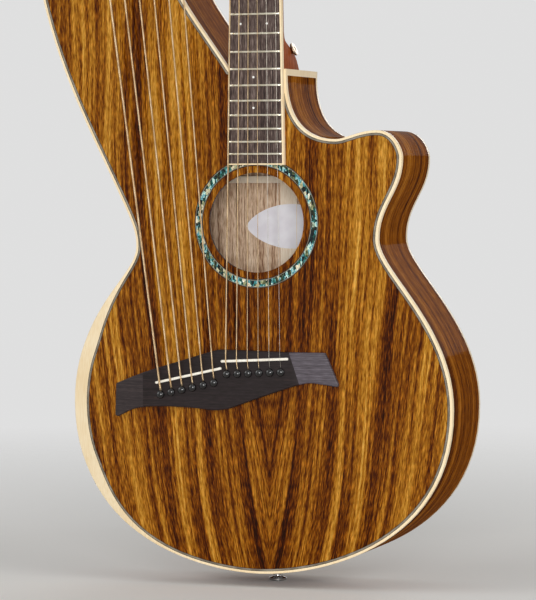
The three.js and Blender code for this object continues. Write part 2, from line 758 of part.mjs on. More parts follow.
function fretboard() {
  const outline = [
    place(-fretboardHalfWidth(fretboardEndHeight), fretboardEndHeight),
    place(fretboardHalfWidth(fretboardEndHeight), fretboardEndHeight),
    place(nutHalfWidth, scaleLength),
    place(-nutHalfWidth, scaleLength),
  ];
  const fretProfile = [
    place(-fretWidth / 2, fretboardThickness / 4),
    place(-fretWidth / 2, -fretCrown * fretFootShare),
    place(-fretWidth / 4, -fretCrown),
    place(fretWidth / 4, -fretCrown),
    place(fretWidth / 2, -fretCrown * fretFootShare),
    place(fretWidth / 2, fretboardThickness / 4),
  ];
  const fretSection = new THREE.Shape(fretProfile);
  const frets = Array.from({ length: fretCount }, (_, index) => {
    const height = fretHeight(index + 1);
    const length = 2 * (fretboardHalfWidth(height) - fretInset);
    const wire = new THREE.ExtrudeGeometry(fretSection, { depth: length, bevelEnabled: false });
    return wire.translate(0, 0, -length / 2).rotateY(Math.PI / 2).translate(0, fretboardFace, height);
  });
  return toGeometry(joined([plate(outline, fretboardFace, fretboardThickness), ...frets]));
}

// Depth of heel and shaft behind the soundboard plane, as shares along the heel from the body
const heelProfileShares = [[0, 1], [0.31, 0.86], [0.53, 0.64], [0.69, 0.34], [0.79, 0.12], [1, 0]];
const neckSectionSteps = 10;
const neckRoundness = 0.9;

function neckRing(height, depth, front = 0) {
  const halfWidth = fretboardHalfWidth(Math.min(height, scaleLength));
  return Array.from({ length: neckSectionSteps + 1 }, (_, step) => {
    const angle = (Math.PI * step) / neckSectionSteps;
    const across = Math.sign(Math.cos(angle)) * Math.abs(Math.cos(angle)) ** neckRoundness;
    const behind = Math.min(depth * Math.sin(angle), heelCapDepth);
    return new THREE.Vector3(halfWidth * across, front + behind, height);
  });
}

// The headstock lies in its own frame: origin on the neck face at the nut, X across, Z up the head
const headOutlineShares = [
  [0, 0.45], [0.04, 0.61], [0.09, 0.7], [0.14, 0.84], [0.21, 0.91],
  [0.55, 0.95], [0.9, 1], [0.97, 0.88], [1, 0.55],
];
const head = new THREE.Group();
head.position.set(0, 0, scaleLength + nutThickness + seatGap);
head.rotation.x = -headTilt;
head.updateMatrix();
guitar.add(head);

// Each side of the head has three posts, the lowest nearest the nut
const postsPerSide = stringPlaces.length / 2;
const mainRank = (index) => (index < postsPerSide ? index : stringPlaces.length - 1 - index);
const mainPosts = stringPlaces.map((index) => place(
  index < postsPerSide ? -headPostReach : headPostReach,
  headFirstPost + mainRank(index) * headPostSpacing,
));
const roundedBore = (radius, sides) => (radius + runningGap) / Math.cos(Math.PI / sides);
const postBore = (post, front, thickness) => {
  const rim = circle(post.x, post.y, roundedBore(postRadius, roundSides), roundSides);
  return plate(rim, front - cutOverrun, thickness + 2 * cutOverrun);
};

function neck() {
  const startHeight = neckJointHeight + seatGap;
  const heelRings = heelProfileShares.map(([heightShare, depthShare]) => neckRing(
    startHeight + heelLength * heightShare,
    lerp(neckShaftDepth, heelDepth, depthShare),
  ));
  const nutEnd = head.position.z;
  const blend = new THREE.Vector3(0, 0, nutHalfWidth / 2).applyMatrix4(head.matrix);
  const shaftRings = [
    neckRing(scaleLength, neckNutDepth),
    neckRing(nutEnd, neckNutDepth),
    neckRing(blend.z, neckNutDepth - seatGap, blend.y + seatGap),
  ];
  const right = headOutlineShares.map(([heightShare, widthShare]) => (
    place(headTopHalfWidth * widthShare, headLength * heightShare)
  ));
  const left = right.map((point) => place(-point.x, point.y)).reverse();
  const paddle = plate([...right, ...left], 0, headThickness).applyMatrix4(head.matrix);
  const bores = mainPosts.map((post) => postBore(post, 0, headThickness).applyMatrix4(head.matrix));
  const blank = joined([loft([...heelRings, ...shaftRings]), paddle]);
  return toGeometry(without(blank, [...bores, strapButtonSeatCut()]));
}

// Nuts, with a slot for each string
const mainNutFloor = fretboardFace - nutStringHeight;
const mainNutPlaces = stringPlaces.map((index) => place(
  centred(index) * mainNutSpacing + mainNutOffset,
  scaleLength + seatGap + nutThickness / 2,
));
const harpNutFloor = -harpNutHeight;
const harpNutMiddle = armEndInner.clone()
  .addScaledVector(armAcross, armEndWidth / 2)
  .addScaledVector(harpLean, harpNutSetback + harpNutThickness / 2);
const harpNutPlaces = stringPlaces.map((index) => harpNutMiddle.clone()
  .addScaledVector(armAcross, armEndWidth / 2 - harpNutOuterMargin - index * harpNutSpacing));

function slottedNut(length, thickness, middle, floor, bottom, degrees, places, diameters) {
  const top = floor - nutWall;
  const blank = box(length, bottom - top, thickness, middle.x, (top + bottom) / 2, middle.y, degrees);
  const cutters = places.map((point, index) => {
    const width = diameters[index] + 2 * seatGap;
    return box(width, cutOverrun, thickness + cutOverrun, point.x, floor - cutOverrun / 2, point.y, degrees);
  });
  return toGeometry(without(toSolid(blank), cutters));
}

function mainNut() {
  const middle = place(0, scaleLength + seatGap + nutThickness / 2);
  const thickness = nutThickness - seatGap;
  return slottedNut(
    2 * nutHalfWidth, thickness, middle, mainNutFloor, -seatGap, 0, mainNutPlaces, mainStringDiameters,
  );
}

function harpNut() {
  const length = armEndWidth - 2 * harpNutMargin;
  const bottom = harpHeadDrop - seatGap;
  return slottedNut(
    length, harpNutThickness, harpNutMiddle, harpNutFloor, bottom, harpLeanDegrees,
    harpNutPlaces, harpStringDiameters,
  );
}

// Harp head: a solid head glued to the arm's end, with six posts along its slanted edge
const harpRow = heading(harpHeadPostLineDegrees);
const harpButtons = heading(harpHeadPostLineDegrees + 90);
const harpFirstPost = harpNutPlaces[0].clone()
  .addScaledVector(harpLean, harpHeadFirstPost)
  .addScaledVector(armAcross, postRadius + harpStringDiameters[0]);
const harpPosts = stringPlaces.map((index) => (
  harpFirstPost.clone().addScaledVector(harpRow, index * harpHeadPostSpacing)
));

function harpHead() {
  const foot = (corner) => corner.clone().addScaledVector(harpLean, seatGap);
  const edge = (post, run) => post.clone()
    .addScaledVector(harpButtons, harpHeadEdge)
    .addScaledVector(harpRow, run);
  const edgeStart = edge(harpPosts[0], -harpHeadEdgeRun);
  const edgeEnd = edge(harpPosts.at(-1), harpHeadEdgeRun);
  const tip = place(harpPosts.at(-1).x + harpHeadTipReach, harpPosts.at(-1).y);
  const outline = [
    ...bend(foot(armEndOuter), 100, 0.4, edgeStart, harpHeadPostLineDegrees, 0.4, 4),
    edgeStart,
    ...bend(edgeEnd, harpHeadPostLineDegrees, 0.6, tip, 268, 0.5, 5),
    ...bend(tip, 268, 0.4, foot(armEndInner), 258, 0.3, 4),
    foot(armEndInner),
  ];
  const back = backAt(armEndInnerHeight);
  const headBack = harpHeadDrop + harpHeadThickness;
  const sweep = new THREE.EllipseCurve(
    harpHeadSweep, back, harpHeadSweep - harpHeadSweepStart, back - headBack, -Math.PI, -Math.PI / 2,
  );
  const profile = new THREE.Shape([
    new THREE.Vector2(harpHeadSweepStart, 2 * back),
    ...sweep.getPoints(sweepSteps),
    new THREE.Vector2(headLength, headBack),
    new THREE.Vector2(headLength, 2 * back),
  ]);
  const cutter = new THREE.ExtrudeGeometry(profile, { depth: 2 * armEndWidth, bevelEnabled: false });
  cutter.translate(0, 0, -armEndWidth / 2);
  const along = new THREE.Vector3(harpLean.x, 0, harpLean.y);
  const inwards = new THREE.Vector3(0, 1, 0);
  cutter.applyMatrix4(new THREE.Matrix4().makeBasis(along, inwards, along.clone().cross(inwards)));
  cutter.translate(armEndInner.x, 0, armEndInner.y);
  const blank = toSolid(plate(outline, harpHeadDrop, back - harpHeadDrop));
  const bores = harpPosts.map((post) => postBore(post, harpHeadDrop, harpHeadThickness));
  return toGeometry(without(blank, [cutter, ...bores]));
}

// Strap button on the treble flank of the heel, and the jack that is also the end pin
const strapButtonPlace = new THREE.Group();
strapButtonPlace.position.set(
  fretboardHalfWidth(neckJointHeight + strapButtonRise) - strapButtonSink,
  strapButtonDepth,
  neckJointHeight + strapButtonRise,
);
strapButtonPlace.rotation.y = Math.PI / 2 - radians(strapButtonDegrees);
strapButtonPlace.updateMatrix();
guitar.add(strapButtonPlace);

function strapButtonSeatCut() {
  const radius = strapButtonFoot + seatGap;
  const reach = strapButtonLength * 2;
  const cutter = turned([[0, 0], [radius, 0], [radius, reach], [0, reach]], 2 * roundSides);
  return cutter.applyMatrix4(strapButtonPlace.matrix);
}

function strapButton() {
  return turned([
    [0, seatGap],
    [strapButtonFoot, seatGap],
    ...strapButtonWaistShares.map((share) => [strapButtonWaist, strapButtonLength * share]),
    [strapButtonRadius, strapButtonLength * strapButtonRimShare],
    [strapButtonRadius, strapButtonLength],
    [0, strapButtonLength],
  ], 2 * roundSides);
}

function endpinJack() {
  const flange = jackLength * jackFlangeShare;
  return turned([
    [0, -jackBarrelLength],
    [jackWaist, -jackBarrelLength],
    [jackWaist, seatGap],
    [jackRadius, seatGap],
    [jackRadius, flange],
    [jackWaist, 1.5 * flange],
    [jackWaist, jackLength - 1.5 * flange],
    [jackRadius, jackLength - flange],
    [jackRadius, jackLength],
    [jackSocketRadius, jackLength],
    [jackSocketRadius, jackLength - jackSocketDepth],
    [0, jackLength - jackSocketDepth],
  ], 2 * roundSides);
}

// Tuning machines. In a row's frame X runs along the posts, Y out to the buttons and Z to the front,
// with the head's back face at Z zero.
function rowFrame(parent, origin, along, outwards) {
  const row = new THREE.Group();
  const frontwards = along.clone().cross(outwards);
  row.position.copy(origin);
  row.quaternion.setFromRotationMatrix(new THREE.Matrix4().makeBasis(along, outwards, frontwards));
  parent.add(row);
  return row;
}

// Gear teeth lean with the worm's thread, so the faces turn by the lead across the gear's width
function gear() {
  const pitch = (2 * Math.PI) / gearTeeth;
  const lead = wormPitch / (Math.PI * (wormRadius + wormCoreRadius));
  const lean = (lead * gearWidth) / 2 / gearPitchRadius;
  const root = gearPitchRadius - gearModule * toothDepthShare;
  const tip = gearPitchRadius + gearModule * toothDepthShare;
  const corners = [
    [-toothRootShare, root],
    [-toothTipShare, tip],
    [toothTipShare, tip],
    [toothRootShare, root],
  ];
  const tooth = (index, offset, turn) => corners.map(([share, radius]) => {
    const angle = (index + share) * pitch + turn;
    return new THREE.Vector3(radius * Math.cos(angle), radius * Math.sin(angle), gearMiddle + offset);
  });
  const teeth = Array.from({ length: gearTeeth }, (_, index) => index);
  const ring = (offset, turn) => teeth.flatMap((index) => tooth(index, offset, turn));
  return loft([ring(-gearWidth / 2, -lean), ring(gearWidth / 2, lean)]);
}

function post(thickness) {
  const gearFace = gearMiddle - gearWidth / 2;
  const waist = thickness + postWaistHeight;
  const taper = postRadius - postWaistRadius;
  const halfWaist = harpStringDiameters[0] * postWaistShare;
  const shaft = turned([
    [0, gearFace - gearScrewHeight],
    [gearScrewRadius, gearFace - gearScrewHeight],
    [gearScrewRadius, gearMiddle],
    [gearHubRadius, gearMiddle],
    [gearHubRadius, plateBack - seatGap],
    [postRadius, plateBack - seatGap],
    [postRadius, waist - halfWaist - taper],
    [postWaistRadius, waist - halfWaist],
    [postWaistRadius, waist + halfWaist],
    [postRadius, waist + halfWaist + taper],
    [postRadius, thickness + postHeight],
    [0, thickness + postHeight],
  ]);
  return toGeometry(joined([shaft, gear()]));
}

// The worm's thread, whose middle points away from the gear
function thread() {
  const root = wormCoreRadius - (wormRadius - wormCoreRadius) / 4;
  const section = [
    [-threadRootShare, root],
    [-threadCrestShare, wormRadius],
    [threadCrestShare, wormRadius],
    [threadRootShare, root],
  ];
  const halfSteps = Math.round((wormHalfLength / wormPitch) * threadSteps);
  const rings = [];
  for (let step = -halfSteps; step <= halfSteps; step += 1) {
    const angle = (2 * Math.PI * step) / threadSteps;
    const middle = (wormPitch * step) / threadSteps;
    rings.push(section.map(([share, radius]) => new THREE.Vector3(
      radius * Math.cos(angle),
      middle + share * wormPitch,
      -radius * Math.sin(angle),
    )));
  }
  return loft(rings);
}

function knob() {
  const coreEnd = lugPlace - lugThickness / 2 - seatGap;
  const collarStart = coreEnd - seatGap * 2;
  const journalEnd = lugPlace + lugThickness / 2 + seatGap;
  const core = turned([
    [0, -journalEnd],
    [wormShaftRadius, -journalEnd],
    [wormShaftRadius, -coreEnd],
    [wormCollarRadius, -coreEnd],
    [wormCoreRadius, -collarStart],
    [wormCoreRadius, collarStart],
    [wormCollarRadius, coreEnd],
    [wormShaftRadius, coreEnd],
    [wormShaftRadius, buttonStart],
    [0, buttonStart],
  ], shaftSides);
  const button = turned([
    [0, buttonStart - seatGap],
    [buttonNeckRadius, buttonStart - seatGap],
    [buttonNeckRadius, buttonStart + buttonLength * buttonNeckShare],
    ...buttonProfileShares.map(([widthShare, lengthShare]) => [
      buttonWidth * widthShare, buttonStart + buttonLength * lengthShare,
    ]),
  ]);
  const flatten = new THREE.Matrix4().makeScale(1, buttonThickness / buttonWidth, 1);
  const upright = joined([core, button.applyMatrix4(flatten)]);
  const lying = toSolid(toGeometry(upright).rotateX(-Math.PI / 2));
  return toGeometry(lying.add(toSolid(thread())));
}

function tunerPlate(count, spacing, wormSide) {
  const worm = wormSide * wormDistance;
  const start = Math.min(0, worm) - plateEndMargin;
  const end = (count - 1) * spacing + Math.max(0, worm) + plateEndMargin;
  const depth = wormShaftRadius + platePad - gearMiddle;
  const lugTop = plateBack + platePad / 2;
  const bed = new THREE.BoxGeometry(end - start, plateWidth, platePad);
  bed.translate((start + end) / 2, 0, plateBack + platePad / 2);
  const pieces = [bed];
  const cutters = [];
  for (let index = 0; index < count; index += 1) {
    for (const flank of [-1, 1]) {
      const lug = new THREE.BoxGeometry(lugWidth, lugThickness, depth + lugTop);
      pieces.push(lug.translate(index * spacing + worm, flank * lugPlace, (lugTop - depth) / 2));
    }
    const shaftHole = new THREE.CylinderGeometry(1, 1, 1, shaftSides);
    const shaftBore = roundedBore(wormShaftRadius, shaftSides);
    shaftHole.scale(shaftBore, 2 * plateWidth, shaftBore);
    cutters.push(shaftHole.translate(index * spacing + worm, 0, gearMiddle));
    const postHole = new THREE.CylinderGeometry(1, 1, 1, roundSides).rotateX(Math.PI / 2);
    const bore = roundedBore(postRadius, roundSides);
    cutters.push(postHole.scale(bore, bore, 2 * cutOverrun).translate(index * spacing, 0, plateBack));
  }
  return toGeometry(without(joined(pieces), cutters));
}

const knobShape = knob();
const mainPostShape = post(headThickness);
const harpPostShape = post(harpHeadThickness);

function addTuners(row, labels, spacing, wormSide, postShape, family) {
  labels.forEach((label, index) => {
    const postMesh = addPiece(`post_${family}_${label}`, postShape, chrome, row);
    postMesh.position.x = index * spacing;
    const knobMesh = addPiece(`knob_${family}_${label}`, knobShape, chrome, row);
    knobMesh.position.set(index * spacing + wormSide * wormDistance, 0, gearMiddle);
    knobMesh.rotation.y = wormSide > 0 ? 0 : Math.PI;
  });
}

// Strings run from their pins over saddle and nut to the groove of their post
function stringTube(points, radius) {
  const sides = 6;
  const rings = points.map((point, index) => {
    const before = points[Math.max(index - 1, 0)];
    const after = points[Math.min(index + 1, points.length - 1)];
    const along = after.clone().sub(before).normalize();
    const across = new THREE.Vector3(1, 0, 0).projectOnPlane(along).normalize();
    const up = along.clone().cross(across);
    return Array.from({ length: sides }, (_, side) => {
      const angle = (2 * Math.PI * side) / sides;
      return point.clone()
        .addScaledVector(across, radius * Math.cos(angle))
        .addScaledVector(up, radius * Math.sin(angle));
    });
  });
  return loft(rings);
}

function stringPath(crossing, nutPlace, nutFloor, nutDepth, postSide, diameter) {
  const radius = diameter / 2;
  const lift = seatGap + radius;
  const pin = place(crossing.x, crossing.y - pinSetback + pinRadius + seatGap);
  const lean = nutPlace.clone().sub(crossing).normalize();
  const saddleEdge = crossing.clone().addScaledVector(lean, -saddleThickness / 2 - seatGap);
  const nutEdge = nutPlace.clone().addScaledVector(lean, nutDepth / 2 + seatGap);
  return [
    new THREE.Vector3(pin.x, bridgeFace - lift, pin.y),
    new THREE.Vector3(saddleEdge.x, saddleTop - lift, saddleEdge.y),
    new THREE.Vector3(nutEdge.x, nutFloor - lift, nutEdge.y),
    postSide,
  ];
}

const besidePost = (diameter) => postWaistRadius + seatGap + diameter / 2;

function mainString(index) {
  const diameter = mainStringDiameters[index];
  const inwards = -Math.sign(mainPosts[index].x);
  const postSide = new THREE.Vector3(
    mainPosts[index].x + inwards * besidePost(diameter),
    -postWaistHeight,
    mainPosts[index].y,
  ).applyMatrix4(head.matrix);
  return stringTube(
    stringPath(mainCrossings[index], mainNutPlaces[index], mainNutFloor, nutThickness, postSide, diameter),
    diameter / 2,
  );
}

function harpString(index) {
  const diameter = harpStringDiameters[index];
  const beside = harpPosts[index].clone().addScaledVector(armAcross, -besidePost(diameter));
  const postSide = new THREE.Vector3(beside.x, harpHeadDrop - postWaistHeight, beside.y);
  const nutPlace = harpNutPlaces[index];
  return stringTube(
    stringPath(harpCrossings[index], nutPlace, harpNutFloor, harpNutThickness, postSide, diameter),
    diameter / 2,
  );
}

// Assembly
guitar.position.set(0, -jackDepth, jackLength - tailHeight);

addPiece('soundboard', soundboard(), stripedWood);
addPiece('back_plate', backPlate(), stripedWood);
addPiece('treble_side', side(0, trebleOutline.length), stripedWood);
addPiece('bass_side', side(trebleOutline.length, bodyOutline.length), stripedWood);
addPiece('top_binding', topBinding(), creamPlastic);
addPiece('back_binding', backBinding(), creamPlastic);
addPiece('rosette', rosette(), abalone);
addPiece('neck_block', neckBlock(), mahogany);
addPiece('tail_block', tailBlock(), mahogany);
addPiece('top_bracing', topBracing(), spruce);
addPiece('back_bracing', backBracing(), spruce);
addPiece('bridge', bridge(), blackWood);
addPiece('main_saddle', saddle(mainSaddle, mainSaddleLength), bone);
addPiece('harp_saddle', saddle(harpSaddle, harpSaddleLength), bone);
addPiece('neck', neck(), mahogany);
addPiece('fretboard', fretboard(), darkFretboard);
addPiece('main_nut', mainNut(), bone);
addPiece('harp_nut', harpNut(), bone);
addPiece('harp_head', harpHead(), mahogany);
addPiece('strap_button', strapButton(), chrome, strapButtonPlace);
const jack = addPiece('endpin_jack', endpinJack(), chrome);
jack.rotation.x = Math.PI;
jack.position.set(0, jackDepth, tailHeight);

const upHead = new THREE.Vector3(0, 0, 1);
const sideways = new THREE.Vector3(1, 0, 0);
const lastMainPost = headFirstPost + (postsPerSide - 1) * headPostSpacing;
const bassRow = rowFrame(
  head, new THREE.Vector3(-headPostReach, headThickness, headFirstPost), upHead, sideways.clone().negate(),
);
const trebleRow = rowFrame(
  head, new THREE.Vector3(headPostReach, headThickness, lastMainPost), upHead.clone().negate(), sideways,
);
const harpRowFrame = rowFrame(
  guitar,
  new THREE.Vector3(harpFirstPost.x, harpHeadDrop + harpHeadThickness, harpFirstPost.y),
  new THREE.Vector3(harpRow.x, 0, harpRow.y),
  new THREE.Vector3(harpButtons.x, 0, harpButtons.y),
);
addPiece('tuner_plate_bass', tunerPlate(postsPerSide, headPostSpacing, -1), chrome, bassRow);
addPiece('tuner_plate_treble', tunerPlate(postsPerSide, headPostSpacing, 1), chrome, trebleRow);
addPiece('tuner_plate_harp', tunerPlate(stringPlaces.length, harpHeadPostSpacing, -1), chrome, harpRowFrame);
addTuners(bassRow, [1, 2, 3], headPostSpacing, -1, mainPostShape, 'main');
addTuners(trebleRow, [4, 5, 6], headPostSpacing, 1, mainPostShape, 'main');
addTuners(harpRowFrame, [1, 2, 3, 4, 5, 6], harpHeadPostSpacing, -1, harpPostShape, 'harp');

for (const index of stringPlaces) {
  const label = index + 1;
  addPiece(`string_main_${label}`, mainString(index), index < 4 ? bronzeWound : plainSteel);
  addPiece(`string_harp_${label}`, harpString(index), bronzeWound);
}

export default guitar;
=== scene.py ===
import json
import math

import bpy
from mathutils import Euler, Matrix, Vector

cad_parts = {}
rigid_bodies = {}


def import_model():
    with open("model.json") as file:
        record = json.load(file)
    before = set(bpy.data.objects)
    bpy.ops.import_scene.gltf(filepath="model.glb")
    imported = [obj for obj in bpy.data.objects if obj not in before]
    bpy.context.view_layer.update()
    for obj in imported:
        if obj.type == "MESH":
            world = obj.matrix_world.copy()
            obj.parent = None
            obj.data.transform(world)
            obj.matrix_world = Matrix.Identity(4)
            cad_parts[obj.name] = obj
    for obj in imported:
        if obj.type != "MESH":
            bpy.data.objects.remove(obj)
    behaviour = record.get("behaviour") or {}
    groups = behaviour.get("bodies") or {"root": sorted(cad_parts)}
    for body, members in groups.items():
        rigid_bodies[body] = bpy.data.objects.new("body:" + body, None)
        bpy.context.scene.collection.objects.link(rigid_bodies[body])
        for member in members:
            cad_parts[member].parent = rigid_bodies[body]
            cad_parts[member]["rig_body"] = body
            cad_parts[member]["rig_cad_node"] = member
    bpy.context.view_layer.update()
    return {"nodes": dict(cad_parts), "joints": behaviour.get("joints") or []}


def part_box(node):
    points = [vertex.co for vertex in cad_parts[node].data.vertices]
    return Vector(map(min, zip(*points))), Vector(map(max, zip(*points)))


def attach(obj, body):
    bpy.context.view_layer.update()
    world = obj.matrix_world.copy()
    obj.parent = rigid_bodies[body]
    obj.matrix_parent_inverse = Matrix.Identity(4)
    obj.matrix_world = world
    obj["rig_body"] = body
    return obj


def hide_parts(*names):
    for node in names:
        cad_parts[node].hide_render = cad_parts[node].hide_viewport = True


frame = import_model()

# Layout

# Millimetres from the middle of the saddle line on the soundboard's face:
# x to the treble side, y into the body, z up along the neck. at() puts them in the frame.

MM = 0.001
TAIL_HEIGHT = -217.5
ORIGIN = Vector((0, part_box("soundboard")[0].y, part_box("top_binding")[0].z - TAIL_HEIGHT * MM))
MERGE_DISTANCE = 0.001 * MM

SCALE_LENGTH = 647.7
FRET_COUNT = 20
FRETS_PER_OCTAVE = 12
DOUBLE_DOT_FRET = 12
SINGLE_DOT_FRETS = (3, 5, 7, 9, 15, 17)
NECK_JOINT_FRET = 14


def fret_height(fret):
    return SCALE_LENGTH * 2 ** (-fret / FRETS_PER_OCTAVE)


NECK_JOINT_HEIGHT = fret_height(NECK_JOINT_FRET)
BACK_TAPER = -0.013043
BACK_DEPTH_AT_SADDLE = 104.863
TOP_THICKNESS = 3
BACK_THICKNESS = 2.8
SIDE_THICKNESS = 2.3
TOP_BINDING_WIDTH = 2.5
TOP_BINDING_DEPTH = 6
BACK_BINDING_WIDTH = 2
BACK_BINDING_DEPTH = 5
PURFLING_WIDTH = 2.6
ARM_BEVEL_WIDTH = 16.3
ARM_BEVEL_DROP = 7
ARM_BEVEL_TOP = (8, 92)
ARM_BEVEL_FOOT = (-207, -112)

HOLE_X, HOLE_Z = -1.4, 135.4
HOLE_RADIUS = 50
ROSETTE_INNER, ROSETTE_OUTER = 56.7, 65.7

FRETBOARD_FACE = -6.3
FRETBOARD_END = 193
FRETBOARD_END_HALF_WIDTH = 29.9
NUT_HALF_WIDTH = 22.5

BRIDGE_FACE = -8.9
BRIDGE_THICKNESS = 8.6
SADDLE_TOP = -11.4


def mm(x, y, z):
    return Vector((x, y, z)) * MM


def at(x, y, z):
    return ORIGIN + mm(x, y, z)


def laid(point, depth):
    """A point of the front view at a depth."""
    return at(point.x, depth, point.y)


def heading(degrees):
    turn = math.radians(degrees)
    return Vector((math.cos(turn), math.sin(turn)))


def circle(sides):
    """Cosine and sine of every corner of an even circle."""
    turns = [2 * math.pi * side / sides for side in range(sides)]
    return [(math.cos(turn), math.sin(turn)) for turn in turns]


def blend(first, second, share):
    return first + (second - first) * share


def ease(value, low, high):
    share = min(max((value - low) / (high - low), 0), 1)
    return share * share * (3 - 2 * share)


def back_at(height):
    return BACK_DEPTH_AT_SADDLE + BACK_TAPER * height


def bend(start, start_degrees, start_share, end, end_degrees, end_share, steps):
    """Points on one sweep of an outline, without its end."""
    chord = (end - start).length
    leave = start + heading(start_degrees) * start_share * chord
    arrive = end - heading(end_degrees) * end_share * chord
    points = []
    for step in range(steps):
        t = step / steps
        near, far = (1 - t) ** 2, t ** 2
        points.append(
            start * near * (1 - t) + leave * 3 * t * near + arrive * 3 * (1 - t) * far + end * far * t
        )
    return points


def smooth_through(points, steps):
    """A rounded curve through every point. One step leaves the points as they are."""
    rounded = []
    for index in range(len(points) - 1):
        before, after = points[max(index - 1, 0)], points[min(index + 2, len(points) - 1)]
        start, end = points[index], points[index + 1]
        for step in range(steps):
            t = step / steps
            rounded.append(
                (start * 2 + (end - before) * t + (before * 2 - start * 5 + end * 4 - after) * t ** 2
                 + (start * 3 - before - end * 3 + after) * t ** 3) / 2
            )
    return rounded + [points[-1]]


# Modelling helpers


def deselect_all():
    if bpy.context.object and bpy.context.object.mode != "OBJECT":
        bpy.ops.object.mode_set(mode="OBJECT")
    bpy.ops.object.select_all(action="DESELECT")


def pick(piece):
    deselect_all()
    piece.select_set(True)
    bpy.context.view_layer.objects.active = piece


def started(name):
    """The primitive that has just been added, under its own name."""
    piece = bpy.context.object
    piece.name = name
    piece.data.name = name
    return piece


def edit_whole(piece):
    pick(piece)
    bpy.ops.object.mode_set(mode="EDIT")
    bpy.ops.mesh.select_all(action="SELECT")


def tidy_shell(piece):
    """Closes seams and poles, and turns every face outwards."""
    edit_whole(piece)
    bpy.ops.mesh.remove_doubles(threshold=MERGE_DISTANCE)
    bpy.ops.mesh.normals_make_consistent(inside=False)
    bpy.ops.object.mode_set(mode="OBJECT")


def loft(name, rings, closed=False, lengths=None):
    """A circle is extruded once for each further ring, and its corners are set on the rings."""
    sides = len(rings[0])
    rings = rings + rings[:1] if closed else rings
    deselect_all()
    bpy.ops.mesh.primitive_circle_add(vertices=sides, fill_type="NOTHING" if closed else "NGON")
    piece = started(name)
    bpy.ops.object.mode_set(mode="EDIT")
    for _ in rings[1:]:
        bpy.ops.mesh.extrude_region_move()
    bpy.ops.object.mode_set(mode="OBJECT")
    piece.data.vertices.foreach_set("co", [value for ring in rings for point in ring for value in point])
    if lengths:
        along = piece.data.attributes.new("along", "FLOAT", "POINT")
        along.data.foreach_set("value", [length * MM for length in lengths for _ in range(sides)])
    tidy_shell(piece)
    return piece


def turned(name, profile, sides, axis_frame=Matrix.Identity(4)):
    """A piece turned on the Z axis of its frame, from (radius, place) pairs."""
    return loft(name, [
        [axis_frame @ mm(radius * across, radius * up, place) for across, up in circle(sides)]
        for radius, place in profile
    ])


def slab(name, outline, front, back):
    """A plate of a front-view outline. front and back are depths or functions of the height."""
    return loft(name, [
        [laid(point, depth(point.y) if callable(depth) else depth) for point in outline]
        for depth in (front, back)
    ])


def joined(name, *pieces):
    pick(pieces[0])
    for piece in pieces[1:]:
        piece.select_set(True)
    bpy.ops.object.join()
    return started(name)


def modified(piece, kind, **settings):
    pick(piece)
    bpy.ops.object.modifier_add(type=kind)
    modifier = piece.modifiers[-1]
    for key, value in settings.items():
        setattr(modifier, key, value)
    bpy.ops.object.modifier_apply(modifier=modifier.name)


def carve(piece, cutter):
    modified(piece, "BOOLEAN", operation="DIFFERENCE", object=cutter, solver="EXACT")
    bpy.data.objects.remove(cutter)
    tidy_shell(piece)


def soften(piece, width, degrees, segments=2):
    """Rounds the edges that turn by more than the given angle."""
    modified(piece, "BEVEL", width=width * MM, segments=segments, limit_method="ANGLE",
             angle_limit=math.radians(degrees), use_clamp_overlap=True)


def copied(piece, name, placing=Matrix.Identity(4)):
    """A copy with its own mesh, put in place in that mesh."""
    double = piece.copy()
    double.data = piece.data.copy()
    double.name = name
    double.data.name = name
    double.data.transform(placing)
    bpy.context.scene.collection.objects.link(double)
    return double


def settle(piece, *materials, body="instrument", stands_for=None, smooth=38):
    """Gives a finished piece its materials, its body and the solid that it stands for."""
    for material in materials:
        piece.data.materials.append(material)
    pick(piece)
    bpy.ops.object.shade_smooth_by_angle(angle=math.radians(smooth))
    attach(piece, body)
    if stands_for:
        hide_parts(stands_for)
    return piece


def paint(piece, slot_index, chosen):
    """Gives the faces that the test chooses another of the piece's materials."""
    for face in piece.data.polygons:
        if chosen(face):
            face.material_index = slot_index


# Shader helpers

BUMP_DEPTH = 0.0002


def tone(*levels):
    """A colour on the usual scale to 255, as the shader wants it."""
    shares = [level / 255 for level in levels]
    linear = [share / 12.92 if share <= 0.04045 else ((share + 0.055) / 1.055) ** 2.4 for share in shares]
    return (*linear, 1.0)


def feed(tree, node, feeds):
    """Feeds a node's inputs with values or other nodes' outputs."""
    for key, value in feeds.items():
        if isinstance(value, bpy.types.NodeSocket):
            tree.links.new(value, node.inputs[key])
        else:
            node.inputs[key].default_value = value


def put(tree, kind, feeds=None, **settings):
    """Adds a shader node of a kind, with its settings and what feeds it."""
    node = tree.nodes.new(kind)
    for key, value in settings.items():
        setattr(node, key, value)
    feed(tree, node, feeds or {})
    return node


def calc(tree, operation, *terms):
    return put(tree, "ShaderNodeMath", dict(enumerate(terms)), operation=operation).outputs[0]


def spread(tree, value, low, high, to_low=0.0, to_high=1.0):
    """Maps a range of a value to another one, and holds it there."""
    feeds = {"Value": value, "From Min": low, "From Max": high, "To Min": to_low, "To Max": to_high}
    return put(tree, "ShaderNodeMapRange", feeds, clamp=True).outputs["Result"]


def point_of(tree, x, y, z):
    return put(tree, "ShaderNodeCombineXYZ", {"X": x, "Y": y, "Z": z}).outputs["Vector"]


def speckle(tree, vector, scale=1.0, detail=2.0, roughness=0.5, distortion=0.0):
    feeds = {"Vector": vector, "Scale": scale, "Detail": detail, "Roughness": roughness,
             "Distortion": distortion}
    return put(tree, "ShaderNodeTexNoise", feeds).outputs["Fac"]


def mixed(tree, factor, first, second, mode="MIX"):
    feeds = {0: factor, 6: first, 7: second}
    return put(tree, "ShaderNodeMix", feeds, data_type="RGBA", blend_type=mode).outputs[2]


